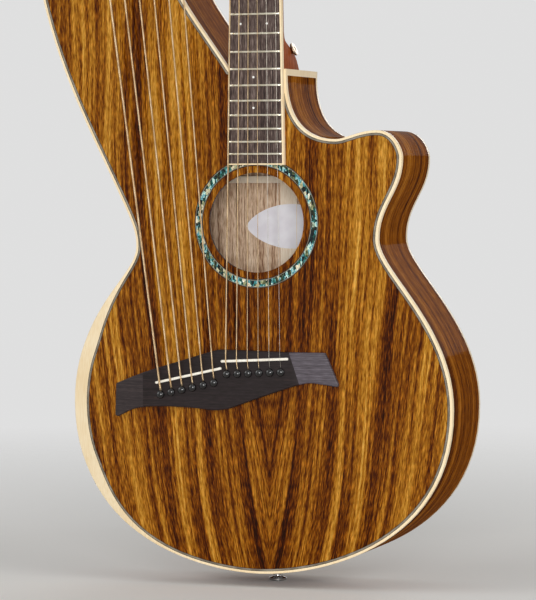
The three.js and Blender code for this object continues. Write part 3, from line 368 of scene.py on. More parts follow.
def ramp(tree, factor, *stops):
    """Colours at their places. A stop is (place, red, green, blue)."""
    node = put(tree, "ShaderNodeValToRGB", {"Fac": factor})
    elements = node.color_ramp.elements
    for element, (place, *levels) in ((elements[0], stops[0]), (elements[1], stops[-1])):
        element.position, element.color = place, tone(*levels)
    for place, *levels in stops[1:-1]:
        elements.new(place).color = tone(*levels)
    return node.outputs["Color"]


def new_group(name, inputs, outputs):
    """An empty node group with numbers for its inputs and outputs."""
    tree = bpy.data.node_groups.new(name, "ShaderNodeTree")
    for way, labels in (("INPUT", inputs), ("OUTPUT", outputs)):
        for label in labels:
            tree.interface.new_socket(name=label, in_out=way, socket_type="NodeSocketFloat")
    return tree, tree.nodes.new("NodeGroupInput").outputs, tree.nodes.new("NodeGroupOutput")


def new_material(name):
    """A material with its node tree, its shader and the three object coordinates."""
    material = bpy.data.materials.new(name)
    material.use_nodes = True
    tree = material.node_tree
    places = put(tree, "ShaderNodeTexCoord").outputs["Object"]
    axes = put(tree, "ShaderNodeSeparateXYZ", {"Vector": places}).outputs
    return material, tree, tree.nodes["Principled BSDF"], places, axes


def finish_shader(tree, shader, colour, roughness, height=None, bump=0.0,
                  coat=(0.0, 0.03), specular=0.5, metallic=0.0):
    """Wires a colour, a worn roughness and a bump, and sets the shader's own constants."""
    worn = put(tree, "ShaderNodeGroup", dict(zip(("Shiny", "Dull"), roughness)), node_tree=wear).outputs
    feed(tree, shader, {
        "Base Color": colour, "Roughness": worn["Roughness"], "Metallic": metallic,
        "Coat Weight": coat[0], "Coat Roughness": coat[1], "Specular IOR Level": specular,
    })
    if height is not None:
        relief = put(tree, "ShaderNodeBump", {"Height": height, "Strength": bump, "Distance": BUMP_DEPTH})
        tree.links.new(relief.outputs["Normal"], shader.inputs["Normal"])


# Shared effects

# Grain of any wood: broad bands, thin lines, short flecks and pores, all drawn out along the grain
grain, grain_in, grain_out = new_group(
    "wood_grain", ("Across", "Along", "Band Width", "Seed"), ("Bands", "Lines", "Flecks", "Pores"),
)


def streaks(across, across_scale, along_scale, detail, roughness=0.5):
    return speckle(grain, point_of(
        grain, calc(grain, "MULTIPLY", across, across_scale),
        calc(grain, "MULTIPLY", grain_in["Along"], along_scale), grain_in["Seed"],
    ), detail=detail, roughness=roughness)


wander = calc(grain, "SUBTRACT", streaks(grain_in["Across"], 9.0, 3.0, 1.0), 0.5)
band_place = calc(grain, "DIVIDE", grain_in["Across"], grain_in["Band Width"])
band_place = calc(grain, "ADD", band_place, calc(grain, "MULTIPLY", wander, 1.3))
feed(grain, grain_out, {
    "Bands": streaks(band_place, 1.0, 1.1, 3.0, 0.55),
    "Lines": streaks(band_place, 6.5, 5.0, 2.5, 0.6),
    "Flecks": streaks(grain_in["Across"], 900.0, 100.0, 2.0, 0.6),
    "Pores": spread(grain, streaks(grain_in["Across"], 2100.0, 150.0, 1.0), 0.6, 0.7),
})

# Faint handling marks that vary how dull a polished face is
wear, wear_in, wear_out = new_group("polish_wear", ("Dull", "Shiny"), ("Roughness",))
marks = speckle(wear, put(wear, "ShaderNodeTexCoord").outputs["Object"], 38.0, 4.0, 0.6)
wear_range = calc(wear, "SUBTRACT", wear_in["Dull"], wear_in["Shiny"])
marks = calc(wear, "MULTIPLY", spread(wear, marks, 0.35, 0.65), wear_range)
feed(wear, wear_out, {"Roughness": calc(wear, "ADD", wear_in["Shiny"], marks)})

# Woods

STRIPED_TONES = (
    (0.4, 30, 8, 0), (0.445, 66, 24, 0), (0.48, 98, 49, 1), (0.505, 120, 68, 8), (0.54, 148, 96, 20),
    (0.58, 178, 126, 42), (0.64, 210, 162, 78),
)
SIDE_TONES = (
    (0.37, 38, 12, 0), (0.44, 78, 34, 0), (0.485, 108, 54, 0), (0.52, 126, 68, 4), (0.56, 144, 84, 12),
    (0.63, 176, 114, 38),
)
# Colour of the painted glints on the lacquered woods
GLINT_TONE = tone(214, 160, 58)
PORE_TONE = tone(40, 18, 4)
SEAM_TONE = tone(52, 34, 22)
BAND_SHARE, LINE_SHARE, FLECK_SHARE = 0.42, 0.3, 0.28
PORE_SHARE = 0.5
MATCH_SEAM = 0.012
MATCH_BEND_HEIGHT = ORIGIN.z + 0.14
MATCH_BEND = 0.3


def grained(name, way, band_width, seed):
    """A new material with its grain. way is the axes across and along it, or a function for them."""
    material, tree, shader, _, axes = new_material(name)
    across, along = way(tree, axes) if callable(way) else (axes[way[0]], axes[way[1]])
    feeds = {"Across": across, "Along": along, "Band Width": band_width, "Seed": seed}
    return material, tree, shader, across, put(tree, "ShaderNodeGroup", feeds, node_tree=grain).outputs


def lacquered_wood(name, way, band_width, seed, tones, glint=0.35, coat=0.2):
    """Striped tone wood under clear lacquer."""
    material, tree, shader, _, figure = grained(name, way, band_width, seed)
    stripes = calc(tree, "MULTIPLY", figure["Bands"], BAND_SHARE)
    stripes = calc(tree, "MULTIPLY_ADD", figure["Lines"], LINE_SHARE, stripes)
    stripes = calc(tree, "MULTIPLY_ADD", figure["Flecks"], FLECK_SHARE, stripes)
    # The brightest flecks get golden glints: a painted highlight
    glints = spread(tree, figure["Flecks"], 0.54, 0.7, 0.0, glint)
    colour = mixed(tree, glints, ramp(tree, stripes, *tones), GLINT_TONE, "OVERLAY")
    colour = mixed(tree, calc(tree, "MULTIPLY", figure["Pores"], PORE_SHARE), colour, PORE_TONE)
    finish_shader(tree, shader, colour, (0.3, 0.42), figure["Pores"], -0.05, (coat, 0.07), 0.0)
    return material


def plain_wood(name, way, band_width, seed, roughness, bump, tones, seam=None, **gloss):
    """Open wood with fine lines, and a dark glue line where a seam is given across the grain."""
    material, tree, shader, across, figure = grained(name, way, band_width, seed)
    lines = calc(tree, "MULTIPLY", figure["Lines"], 0.55)
    lines = calc(tree, "ADD", lines, calc(tree, "MULTIPLY", figure["Flecks"], 0.45))
    pores = calc(tree, "MULTIPLY", figure["Pores"], PORE_SHARE)
    colour = mixed(tree, pores, ramp(tree, lines, *tones), tone(*tones[0][1:]))
    if seam is not None:
        off_seam = calc(tree, "ABSOLUTE", calc(tree, "SUBTRACT", across, seam))
        colour = mixed(tree, spread(tree, off_seam, 0.0003, 0.0009, 0.85, 0.0), colour, SEAM_TONE)
    finish_shader(tree, shader, colour, roughness, figure["Pores"], -bump, **gloss)
    return material


def book_matched(tree, axes):
    """Two mirrored halves whose stripes close towards the tail."""
    below = calc(tree, "MINIMUM", calc(tree, "SUBTRACT", axes["Z"], MATCH_BEND_HEIGHT), 0.0)
    closing = calc(tree, "MULTIPLY", calc(tree, "MULTIPLY", below, below), MATCH_BEND)
    away = calc(tree, "ABSOLUTE", calc(tree, "SUBTRACT", axes["X"], MATCH_SEAM))
    return calc(tree, "ADD", away, closing), axes["Z"]


def along_the_side(tree, axes):
    return axes["Y"], put(tree, "ShaderNodeAttribute", attribute_name="along").outputs["Fac"]


def down_the_depth(tree, axes):
    return calc(tree, "ADD", axes["X"], axes["Y"]), axes["Z"]


striped_top = lacquered_wood("striped_top", book_matched, 0.025, 3.1, STRIPED_TONES, glint=0.4)
striped_back = lacquered_wood("striped_back", book_matched, 0.026, 11.4, STRIPED_TONES)
striped_side = lacquered_wood("striped_side", along_the_side, 0.016, 6.7, SIDE_TONES, 0.15, 0.03)
striped_veneer = lacquered_wood("striped_veneer", "XZ", 0.018, 8.2, STRIPED_TONES)
mahogany = plain_wood(
    "mahogany", down_the_depth, 0.012, 21.0, (0.3, 0.42), 0.25,
    ((0.34, 104, 46, 24), (0.48, 148, 76, 40), (0.6, 174, 97, 57), (0.7, 192, 116, 74)),
    coat=(0.03, 0.2), specular=0.0,
)
spruce = plain_wood(
    "spruce", down_the_depth, 0.004, 31.0, (0.65, 0.8), 0.25,
    ((0.34, 230, 206, 176), (0.5, 248, 230, 206), (0.66, 254, 242, 224)), specular=0.1,
)
back_inside = plain_wood(
    "back_inside", "XZ", 0.016, 17.0, (0.7, 0.85), 0.25,
    ((0.36, 120, 84, 62), (0.44, 176, 142, 114), (0.5, 206, 175, 146), (0.56, 226, 198, 170),
     (0.66, 244, 222, 196)), seam=-0.0577, specular=0.1,
)
dark_wood = plain_wood(
    "dark_wood", "ZX", 0.006, 41.0, (0.34, 0.44), 0.06,
    ((0.36, 16, 9, 7), (0.46, 27, 19, 18), (0.56, 34, 26, 27), (0.7, 52, 38, 34)), specular=0.22,
)
# Lighter tones for the treble wing than for the bridge's middle: a painted sheen
treble_wing_painted_sheen = plain_wood(
    "treble_wing_painted_sheen", "ZX", 0.006, 43.0, (0.45, 0.55), 0.05,
    ((0.36, 52, 46, 50), (0.5, 74, 67, 73), (0.66, 100, 93, 100)), specular=0.25,
)
# Lighter tones for the bass wing than for the bridge's middle: a fainter painted sheen
bass_wing_painted_sheen = plain_wood(
    "bass_wing_painted_sheen", "ZX", 0.006, 44.0, (0.45, 0.55), 0.05,
    ((0.36, 30, 22, 23), (0.5, 43, 35, 35), (0.66, 62, 52, 51)), specular=0.25,
)
fretboard_wood = plain_wood(
    "fretboard_wood", "XZ", 0.006, 51.0, (0.4, 0.52), 0.2,
    ((0.36, 22, 13, 11), (0.45, 52, 38, 34), (0.54, 84, 69, 63), (0.64, 138, 122, 114)), specular=0.2,
)

# Trim, shell, bone and metal

CLOUD_PLACES = (0.35, 0.65)


def clouds(tree, factor, dark, light):
    """A tone that wavers between two colours."""
    return ramp(tree, factor, *((place, *levels) for place, levels in zip(CLOUD_PLACES, (dark, light))))


def cream(name, warm, pale, roughness):
    """Cream plastic or bone with faint layers."""
    material, tree, shader, places, axes = new_material(name)
    flat = [calc(tree, "MULTIPLY", axes[axis], scale) for axis, scale in zip("XYZ", (900.0, 900.0, 60.0))]
    layers = speckle(tree, point_of(tree, *flat), detail=1.0)
    shade = calc(tree, "MULTIPLY", speckle(tree, places, 26.0, 3.0), 0.5)
    shade = calc(tree, "ADD", shade, calc(tree, "MULTIPLY", layers, 0.5))
    colour = clouds(tree, shade, warm, pale)
    finish_shader(tree, shader, colour, roughness, layers, 0.04, (0.06, 0.15), 0.05)
    return material


def mottled(name, dark, light, roughness, scale, detail=2.0, grit=0.5, bump=None, **gloss):
    """A plain colour with faint clouds in it, which may be raised."""
    material, tree, shader, places, _ = new_material(name)
    cloud = speckle(tree, places, scale, detail, grit)
    raised_by = {"height": cloud, "bump": bump} if bump else {}
    finish_shader(tree, shader, clouds(tree, cloud, dark, light), roughness, **raised_by, **gloss)
    return material


def shell():
    """Slanting shards of shell, each with its own bands of green, blue and cream."""
    material, tree, shader, places, _ = new_material("abalone")
    slanted = put(tree, "ShaderNodeMapping", {
        "Vector": places, "Rotation": (0, math.radians(40), 0), "Scale": (1, 1, 0.45),
    }).outputs["Vector"]
    chips = put(tree, "ShaderNodeTexVoronoi", {"Vector": slanted, "Scale": 470.0, "Randomness": 1.0})
    chance = put(tree, "ShaderNodeSeparateColor", {"Color": chips.outputs["Color"]}).outputs
    curls = speckle(tree, slanted, 900.0, 2.5, 0.6, 1.2)
    shade = calc(tree, "MULTIPLY_ADD", chance["Red"], 0.7, calc(tree, "MULTIPLY_ADD", curls, 1.1, -0.47))
    cool = ramp(
        tree, shade, (0.2, 6, 14, 18), (0.36, 16, 52, 48), (0.5, 44, 112, 92), (0.62, 74, 146, 172),
        (0.74, 164, 206, 190), (0.9, 226, 236, 214),
    )
    warm = ramp(
        tree, shade, (0.2, 14, 16, 12), (0.38, 62, 74, 44), (0.54, 142, 148, 104), (0.7, 204, 194, 160),
        (0.88, 238, 232, 214),
    )
    colour = mixed(tree, spread(tree, chance["Green"], 0.6, 0.68), cool, warm)
    finish_shader(tree, shader, colour, (0.18, 0.3), curls, 0.03, (0.4, 0.06), 0.1)
    return material


WINDING_PITCH = 0.0004


def wound_string():
    material, tree, shader, places, _ = new_material("wound_bronze")
    along = put(tree, "ShaderNodeAttribute", attribute_name="along").outputs["Fac"]
    turns = calc(tree, "SINE", calc(tree, "MULTIPLY", along, 2 * math.pi / WINDING_PITCH))
    rise = calc(tree, "MULTIPLY_ADD", turns, 0.5, 0.5)
    colour = clouds(tree, speckle(tree, places, 70.0, 3.0), (196, 162, 118), (236, 210, 168))
    # The valleys between the windings are darkened: painted shade
    colour = mixed(tree, spread(tree, rise, 0.0, 0.5, 0.5, 0.0), colour, tone(92, 66, 40))
    finish_shader(tree, shader, colour, (0.28, 0.42), rise, 0.5, metallic=0.85)
    return material


UNDER_LACQUER = {"coat": (0.3, 0.07), "specular": 0.0}
METAL = {"scale": 160.0, "detail": 4.0, "grit": 0.65, "bump": 0.02, "metallic": 1.0}
cream_binding = cream("cream_binding", (228, 203, 160), (240, 222, 188), (0.28, 0.42))
bone = cream("bone", (226, 218, 200), (244, 240, 230), (0.35, 0.5))
fret_dot = cream("fret_dot", (226, 226, 220), (248, 248, 244), (0.25, 0.35))
purfling_dark = mottled("purfling_dark", (24, 17, 12), (50, 38, 28), (0.3, 0.42), 120.0, **UNDER_LACQUER)
purfling_grey = mottled("purfling_grey", (106, 98, 86), (140, 132, 118), (0.3, 0.42), 90.0, **UNDER_LACQUER)
pin_black = mottled("pin_black", (6, 5, 5), (14, 12, 12), (0.1, 0.18), 150.0, coat=(1.0, 0.03), specular=0.1)
label_paper = mottled("label_paper", (240, 236, 242), (252, 250, 254), (0.7, 0.85), 60.0, specular=0.1)
abalone = shell()
chrome = mottled("chrome", (156, 156, 158), (192, 191, 190), (0.08, 0.2), **METAL)
# Chrome darkened and tinted brown: a painted reflection of the wooden heel
chrome_painted_heel_reflection = mottled("chrome_painted_heel_reflection", (120, 100, 80), (166, 146, 122), (0.12, 0.24), **METAL)
fret_metal = mottled("fret_metal", (206, 198, 176), (236, 230, 212), (0.18, 0.3), **METAL)
plain_steel = mottled("plain_steel", (150, 144, 132), (190, 184, 172), (0.34, 0.46), **METAL)
wound_bronze = wound_string()

# Body outline

FINENESS = 3
HARP_LEAN_DEGREES = 4.9
ARM_END_WIDTH = 127
tail = Vector((0, TAIL_HEIGHT))
treble_bout = Vector((202, -49))
treble_waist = Vector((125.6, 118.7))
horn = Vector((150.2, NECK_JOINT_HEIGHT - 88.4))
horn_top = Vector((124, horn.y + 26.7))
cutaway = Vector((82.1, horn_top.y - 8.5))
treble_joint = Vector((30.5, NECK_JOINT_HEIGHT))
neck_joint = Vector((0, NECK_JOINT_HEIGHT))
bass_joint = Vector((-29.6, NECK_JOINT_HEIGHT))
arm_inner = Vector((-106, 450))
harp_lean = heading(90 + HARP_LEAN_DEGREES)
arm_across = heading(180 + HARP_LEAN_DEGREES)
arm_end_inner = Vector((-76, 672))
arm_end_outer = arm_end_inner + arm_across * ARM_END_WIDTH
arm_outer = Vector((-244.6, 473))
shoulder = Vector((-159.2, 184.8))
bass_waist = Vector((-130.5, 111.2))
bass_bout = Vector((-202, -49))

treble_outline = [
    *bend(tail, 0, 0.255, treble_bout, 90, 0.51, 9 * FINENESS),
    *bend(treble_bout, 90, 0.458, treble_waist, 90, 0.172, 8 * FINENESS),
    *bend(treble_waist, 90, 0.414, horn, 90, 0.404, 6 * FINENESS),
    *bend(horn, 90, 0.15, horn_top, 180, 0.528, 5 * FINENESS),
    *bend(horn_top, 180, 0.407, cutaway, 180, 0.216, 4 * FINENESS),
    *bend(cutaway, 180, 0.525, treble_joint, 86.3, 0.348, 7 * FINENESS),
    treble_joint,
]
body_outline = treble_outline + [
    neck_joint,
    *bend(bass_joint, 124, 0.4, arm_inner, 90, 0.38, 7 * FINENESS),
    *bend(arm_inner, 90, 0.35, arm_end_inner, 78, 0.3, 6 * FINENESS),
    arm_end_inner,
    *bend(arm_end_outer, 248, 0.33, arm_outer, 270, 0.36, 6 * FINENESS),
    *bend(arm_outer, 270, 0.408, shoulder, 296.5, 0.289, 9 * FINENESS),
    *bend(shoulder, 296.5, 0.679, bass_waist, 270, 0.211, 5 * FINENESS),
    *bend(bass_waist, 270, 0.19, bass_bout, 270, 0.543, 8 * FINENESS),
    *bend(bass_bout, 270, 0.51, tail, 0, 0.255, 9 * FINENESS),
]
OUTLINE_COUNT = len(body_outline)
TREBLE_END = len(treble_outline)


def inward_at(index):
    """Inward direction, lengthened at corners so that insets stay even."""
    before, point, after = (body_outline[(index + step) % OUTLINE_COUNT] for step in (-1, 0, 1))
    first, second = (point - before).normalized(), (after - point).normalized()
    return Vector((-first.y - second.y, first.x + second.x)) / (1 + first.dot(second))


def bevel_share(point):
    """How far the cream arm bevel has widened at a point of the outline."""
    return 0 if point.x > 0 else (1 - ease(point.y, *ARM_BEVEL_TOP)) * ease(point.y, *ARM_BEVEL_FOOT)


inward = [inward_at(index) for index in range(OUTLINE_COUNT)]
bevel_shares = [bevel_share(point) for point in body_outline]
binding_widths = [blend(TOP_BINDING_WIDTH, ARM_BEVEL_WIDTH, share) for share in bevel_shares]
outline_lengths = [0]
for index in range(OUTLINE_COUNT):
    step_length = (body_outline[(index + 1) % OUTLINE_COUNT] - body_outline[index]).length
    outline_lengths.append(outline_lengths[-1] + step_length)


def inset_point(index, inset):
    return body_outline[index] + inward[index] * inset


def section_ring(index, section):
    """A section of (inset, depth) pairs at one station of the outline."""
    return [laid(inset_point(index, inset), depth) for inset, depth in section]


def all_round(name, section_at):
    rings = [section_ring(index, section_at(index)) for index in range(OUTLINE_COUNT)]
    return loft(name, rings, closed=True)


# Body pieces

EDGE_ROUND = 0.6
FACING_FRONT = -0.9
PURFLING_LINE = 0.4
PURFLING_DEPTH = 1.5
END_STRIP_LENGTH = 6.5
END_STRIP_PROUD = 0.03


def binding_section(index):
    width, drop = binding_widths[index], ARM_BEVEL_DROP * bevel_shares[index]
    slope = drop / width
    return [
        (TOP_BINDING_WIDTH, TOP_BINDING_DEPTH + drop), (width, TOP_THICKNESS), (width, 0),
        (EDGE_ROUND * 2, drop - slope * EDGE_ROUND * 2),
        (EDGE_ROUND, drop - slope * EDGE_ROUND + EDGE_ROUND * 0.12),
        (EDGE_ROUND * 0.3, drop + EDGE_ROUND * 0.3), (0, drop + EDGE_ROUND), (0, TOP_BINDING_DEPTH + drop),
    ]


def purfling_section(index):
    start = binding_widths[index]
    end = start + PURFLING_WIDTH
    return [
        (end, PURFLING_DEPTH), (end, 0), (end - PURFLING_LINE, 0),
        (start + PURFLING_LINE, 0), (start, 0), (start, PURFLING_DEPTH),
    ]


def is_purfling_middle(face):
    """The middle line is the widest of the three that face the front."""
    if face.normal.y > FACING_FRONT:
        return False
    places = [purfling.data.vertices[corner].co for corner in face.vertices]
    across = min((places[0] - places[1]).length, (places[1] - places[2]).length)
    return across > PURFLING_LINE * 2 * MM


def top_plate():
    outline = [inset_point(i, binding_widths[i] + PURFLING_WIDTH) for i in range(OUTLINE_COUNT)]
    board = slab("top_plate", outline, 0, TOP_THICKNESS)
    deselect_all()
    bpy.ops.mesh.primitive_cylinder_add(
        vertices=128, radius=HOLE_RADIUS * MM, depth=TOP_THICKNESS * 4 * MM,
        location=at(HOLE_X, TOP_THICKNESS / 2, HOLE_Z), rotation=(math.pi / 2, 0, 0),
    )
    carve(board, started("hole_cutter"))
    return board


# The faces of the soundhole's wall, which are painted dark as shade
def is_hole_wall(face):
    away = (face.center - at(HOLE_X, 0, HOLE_Z)) / MM
    return abs(face.normal.y) < 0.5 and math.hypot(away.x, away.z) < HOLE_RADIUS + 1


def bent_side(name, first, last):
    rings = []
    for index in (station % OUTLINE_COUNT for station in range(first, last)):
        back = back_at(body_outline[index].y)
        rebate = TOP_BINDING_DEPTH + ARM_BEVEL_DROP * bevel_shares[index]
        rings.append(section_ring(index, [
            (0, rebate), (SIDE_THICKNESS, rebate),
            (SIDE_THICKNESS, back - BACK_THICKNESS), (BACK_BINDING_WIDTH, back - BACK_THICKNESS),
            (BACK_BINDING_WIDTH, back - BACK_BINDING_DEPTH), (0, back - BACK_BINDING_DEPTH),
        ]))
    return loft(name, rings, lengths=outline_lengths[first:last])


def end_strip_ring(run):
    """The strip's section at a distance before the joint, between two stations of the outline."""
    target = outline_lengths[TREBLE_END - 1] - run
    index = max(i for i in range(TREBLE_END) if outline_lengths[i] <= target)
    share = (target - outline_lengths[index]) / (outline_lengths[index + 1] - outline_lengths[index])
    foot = back_at(body_outline[index].y) - BACK_BINDING_DEPTH
    section = [
        (-END_STRIP_PROUD, TOP_BINDING_DEPTH), (1, TOP_BINDING_DEPTH), (1, foot), (-END_STRIP_PROUD, foot),
    ]
    near, far = section_ring(index, section), section_ring(min(index + 1, TREBLE_END - 1), section)
    return [blend(first, second, share) for first, second in zip(near, far)]


def back_binding_section(index):
    back = back_at(body_outline[index].y)
    return [
        (0, back - BACK_BINDING_DEPTH), (0, back - EDGE_ROUND), (EDGE_ROUND * 0.3, back - EDGE_ROUND * 0.3),
        (EDGE_ROUND, back), (BACK_BINDING_WIDTH, back), (BACK_BINDING_WIDTH, back - BACK_BINDING_DEPTH),
    ]


top_binding = all_round("top_edge_binding", binding_section)
settle(top_binding, cream_binding, stands_for="top_binding", smooth=50)
purfling = settle(all_round("top_purfling", purfling_section), purfling_dark, purfling_grey)
paint(purfling, 1, is_purfling_middle)
soundboard = settle(top_plate(), striped_top, purfling_dark, stands_for="soundboard")
# The soundhole's wall takes the dark purfling material as painted shade
paint(soundboard, 1, is_hole_wall)
treble_side = bent_side("treble_bent_side", 0, TREBLE_END + 1)
settle(treble_side, striped_side, stands_for="treble_side")
bass_side = bent_side("bass_bent_side", TREBLE_END, OUTLINE_COUNT + 1)
settle(bass_side, striped_side, stands_for="bass_side")
# The end of the treble side at the neck is trimmed with a cream strip
end_strip = loft("cutaway_end_strip", [end_strip_ring(END_STRIP_LENGTH * share) for share in (1, 0.5, 0)])
settle(end_strip, cream_binding)
back_binding = all_round("back_edge_binding", back_binding_section)
settle(back_binding, cream_binding, stands_for="back_binding", smooth=50)
back_outline = [inset_point(index, BACK_BINDING_WIDTH) for index in range(OUTLINE_COUNT)]
back_board = slab("back_board", back_outline, lambda height: back_at(height) - BACK_THICKNESS, back_at)
settle(back_board, striped_back, back_inside, stands_for="back_plate")
paint(back_board, 1, lambda face: face.normal.y < FACING_FRONT)

LABEL_X, LABEL_Z = 3, 130
LABEL_HALF_LENGTH = 50
LABEL_HALF_WIDTH = 23
LABEL_STEPS = 40
PAPER_THICKNESS = 0.2
PAPER_SLOPE = 9
PAPER_GLUE = 0.1
LABEL_ROUNDNESS = 0.7
LABEL_TIP = 0.15
CENTRE_STRIP_HALF_WIDTH = 9
CENTRE_STRIP_RISE = 2.7


def label_ring(share):
    """One strip across the blank paper, which lies over the centre strip and slopes down to the back."""
    half = max(LABEL_HALF_WIDTH * (1 - share ** 2) ** LABEL_ROUNDNESS, LABEL_TIP)
    reach = LABEL_X + LABEL_HALF_LENGTH * share
    lift = 1 - ease(abs(reach), CENTRE_STRIP_HALF_WIDTH, CENTRE_STRIP_HALF_WIDTH + PAPER_SLOPE)
    ring = []
    for side, rise in ((1, PAPER_THICKNESS), (-1, PAPER_THICKNESS), (-1, -PAPER_GLUE), (1, -PAPER_GLUE)):
        height = LABEL_Z + side * half
        ring.append(at(reach, back_at(height) - BACK_THICKNESS - CENTRE_STRIP_RISE * lift - rise, height))
    return ring


label_shares = [math.sin(math.pi / 2 * (2 * step / LABEL_STEPS - 1)) for step in range(LABEL_STEPS + 1)]
settle(loft("inside_label", [label_ring(share) for share in label_shares]), label_paper)

# Rosette

ROSETTE_STEPS = 144
ROSETTE_LINE = 0.75
ROSETTE_PROUD = 0.04


def ring_inlay(name, inner, outer):
    """A flat ring round the soundhole."""
    rings = []
    for step in range(ROSETTE_STEPS):
        out = heading(360 * step / ROSETTE_STEPS)
        rings.append([
            at(HOLE_X + out.x * radius, depth, HOLE_Z + out.y * radius)
            for radius, depth in ((inner, 1), (inner, -ROSETTE_PROUD), (outer, -ROSETTE_PROUD), (outer, 1))
        ])
    return loft(name, rings, closed=True)


shell_band = ring_inlay(
    "rosette_shell", ROSETTE_INNER + 2 * ROSETTE_LINE, ROSETTE_OUTER - 2 * ROSETTE_LINE,
)
settle(shell_band, abalone, stands_for="rosette")
for label, start, material in (
    ("inner_dark", ROSETTE_INNER, purfling_dark),
    ("inner_grey", ROSETTE_INNER + ROSETTE_LINE, purfling_grey),
    ("outer_grey", ROSETTE_OUTER - 2 * ROSETTE_LINE, purfling_grey),
    ("outer_dark", ROSETTE_OUTER - ROSETTE_LINE, purfling_dark),
):
    settle(ring_inlay(f"rosette_{label}", start, start + ROSETTE_LINE), material)

# Bridge, saddles and pins

BRIDGE_BASS_REACH = 153
BRIDGE_SPAN = 239
BRIDGE_TOP = 8
BRIDGE_HEIGHT = 70
BRIDGE_WING_DROP = 5
WING_EDGE_DEPTH = 1
BRIDGE_FOOT_DEPTH = 0.3
BRIDGE_EDGE_ROUND = 1.1
BASS_CREASE = -120.5
TREBLE_CREASE = 41
TREBLE_CREASE_DEGREES = -19
CREASE_SHARE = 0.25
# Its edges from the upper left on, as shares of span and height, with the steps of their rounding
BRIDGE_EDGES = (
    (3, ((0.005, 0.519), (0.136, 0.35), (0.3, 0.176), (0.452, 0.02), (0.49, 0))),
    (1, ((0.642, 0.009), (0.797, 0.024), (0.941, 0.023), (1, 0.476), (0.996, 0.509))),
    (3, (
        (0.897, 0.459), (0.843, 0.474), (0.701, 0.629), (0.584, 0.771), (0.517, 0.85), (0.454, 0.874),
        (0.381, 0.851), (0.3, 0.838), (0.218, 0.834), (0.132, 0.854), (0.077, 0.897), (0.014, 1),
    )),
    (1, ((0, 0.986), (0.003, 0.71))),
)


def lowered(piece, crease_reach, degrees, outer_reach):
    """Cuts the front face along a crease and lets it fall away to the wing's end."""
    along_crease = heading(90 - degrees)
    across = Vector((along_crease.y, -along_crease.x)) * (1 if outer_reach > crease_reach else -1)
    start = Vector((crease_reach, BRIDGE_TOP - BRIDGE_HEIGHT * CREASE_SHARE))
    run = (Vector((outer_reach, start.y)) - start).dot(across)
    edit_whole(piece)
    bpy.ops.mesh.bisect(plane_co=laid(start, 0), plane_no=(across.x, 0, across.y))
    bpy.ops.object.mode_set(mode="OBJECT")
    for corner in piece.data.vertices:
        place = (corner.co - ORIGIN) / MM
        beyond = (Vector((place.x, place.z)) - start).dot(across)
        if beyond > 0 and place.y < BRIDGE_FACE + WING_EDGE_DEPTH:
            corner.co.y += BRIDGE_WING_DROP * beyond / run * MM


def bridge_block():
    outline = []
    for steps, shares in BRIDGE_EDGES:
        edge = [
            Vector((BRIDGE_SPAN * across - BRIDGE_BASS_REACH, BRIDGE_TOP - BRIDGE_HEIGHT * down))
            for across, down in shares
        ]
        outline += smooth_through(edge, steps)
    block = slab("bridge_block", outline, BRIDGE_FACE, BRIDGE_FACE + BRIDGE_THICKNESS + BRIDGE_FOOT_DEPTH)
    lowered(block, BASS_CREASE, 0, -BRIDGE_BASS_REACH)
    lowered(block, TREBLE_CREASE, TREBLE_CREASE_DEGREES, BRIDGE_SPAN - BRIDGE_BASS_REACH)
    soften(block, BRIDGE_EDGE_ROUND, 50, segments=3)
    return block


def beyond_treble_crease(face):
    place = (face.center - ORIGIN) / MM
    lean = math.tan(math.radians(TREBLE_CREASE_DEGREES))
    return place.x > TREBLE_CREASE + (place.z - BRIDGE_TOP + BRIDGE_HEIGHT * CREASE_SHARE) * lean


bridge = bridge_block()
# The wings beyond the creases take the lighter wood tones of a painted sheen
settle(bridge, dark_wood, treble_wing_painted_sheen, bass_wing_painted_sheen, stands_for="bridge", smooth=12)
paint(bridge, 1, beyond_treble_crease)
paint(bridge, 2, lambda face: face.center.x < at(BASS_CREASE, 0, 0).x)

STRING_COUNT = 6
SADDLE_THICKNESS = 2.6
SADDLE_SLOT_DEPTH = 4.5
SADDLE_MARGIN = 6.9
PIN_SETBACK = 13
PIN_RADIUS = 4.2
PIN_PROFILE = (
    (0, -5), (2.3, -5), (2.4, -0.5), (3.7, -0.3), (4.2, 0.3), (4.2, 1.1),
    (3.95, 1.9), (3.4, 2.7), (2.6, 3.4), (1.6, 3.85), (0.7, 4), (0, 4),
)
TO_FRONT = Matrix.Rotation(math.pi / 2, 4, "X")


def centred(index):
    return index - (STRING_COUNT - 1) / 2


def saddle(family, middle, degrees, spacing, offset):
    """Adds a bone strip with rounded top and ends, and gives the places where its strings cross it."""
    middle = Vector(middle)
    along, across = heading(degrees), heading(degrees + 90)
    half = ((STRING_COUNT - 1) * spacing + 2 * SADDLE_MARGIN) / 2
    floor = BRIDGE_FACE + SADDLE_SLOT_DEPTH
    rings = []
    for reach, thick_share, top_drop in (
        (-half, 0.55, 0.8), (-half + 0.7, 1, 0.25), (-half + 2, 1, 0), (0, 1, 0),
        (half - 2, 1, 0), (half - 0.7, 1, 0.25), (half, 0.55, 0.8),
    ):
        top = SADDLE_TOP + top_drop
        rings.append([
            laid(middle + along * reach + across * side * SADDLE_THICKNESS / 2 * thick_share, depth)
            for side, depth in (
                (-1, floor), (-1, top + 0.9), (-0.75, top + 0.3), (-0.35, top + 0.05),
                (0.35, top + 0.05), (0.75, top + 0.3), (1, top + 0.9), (1, floor),
            )
        ])
    settle(loft(f"saddle_{family}", rings), bone, stands_for=f"{family}_saddle")
    return [middle + along * (centred(index) * spacing + offset) for index in range(STRING_COUNT)]


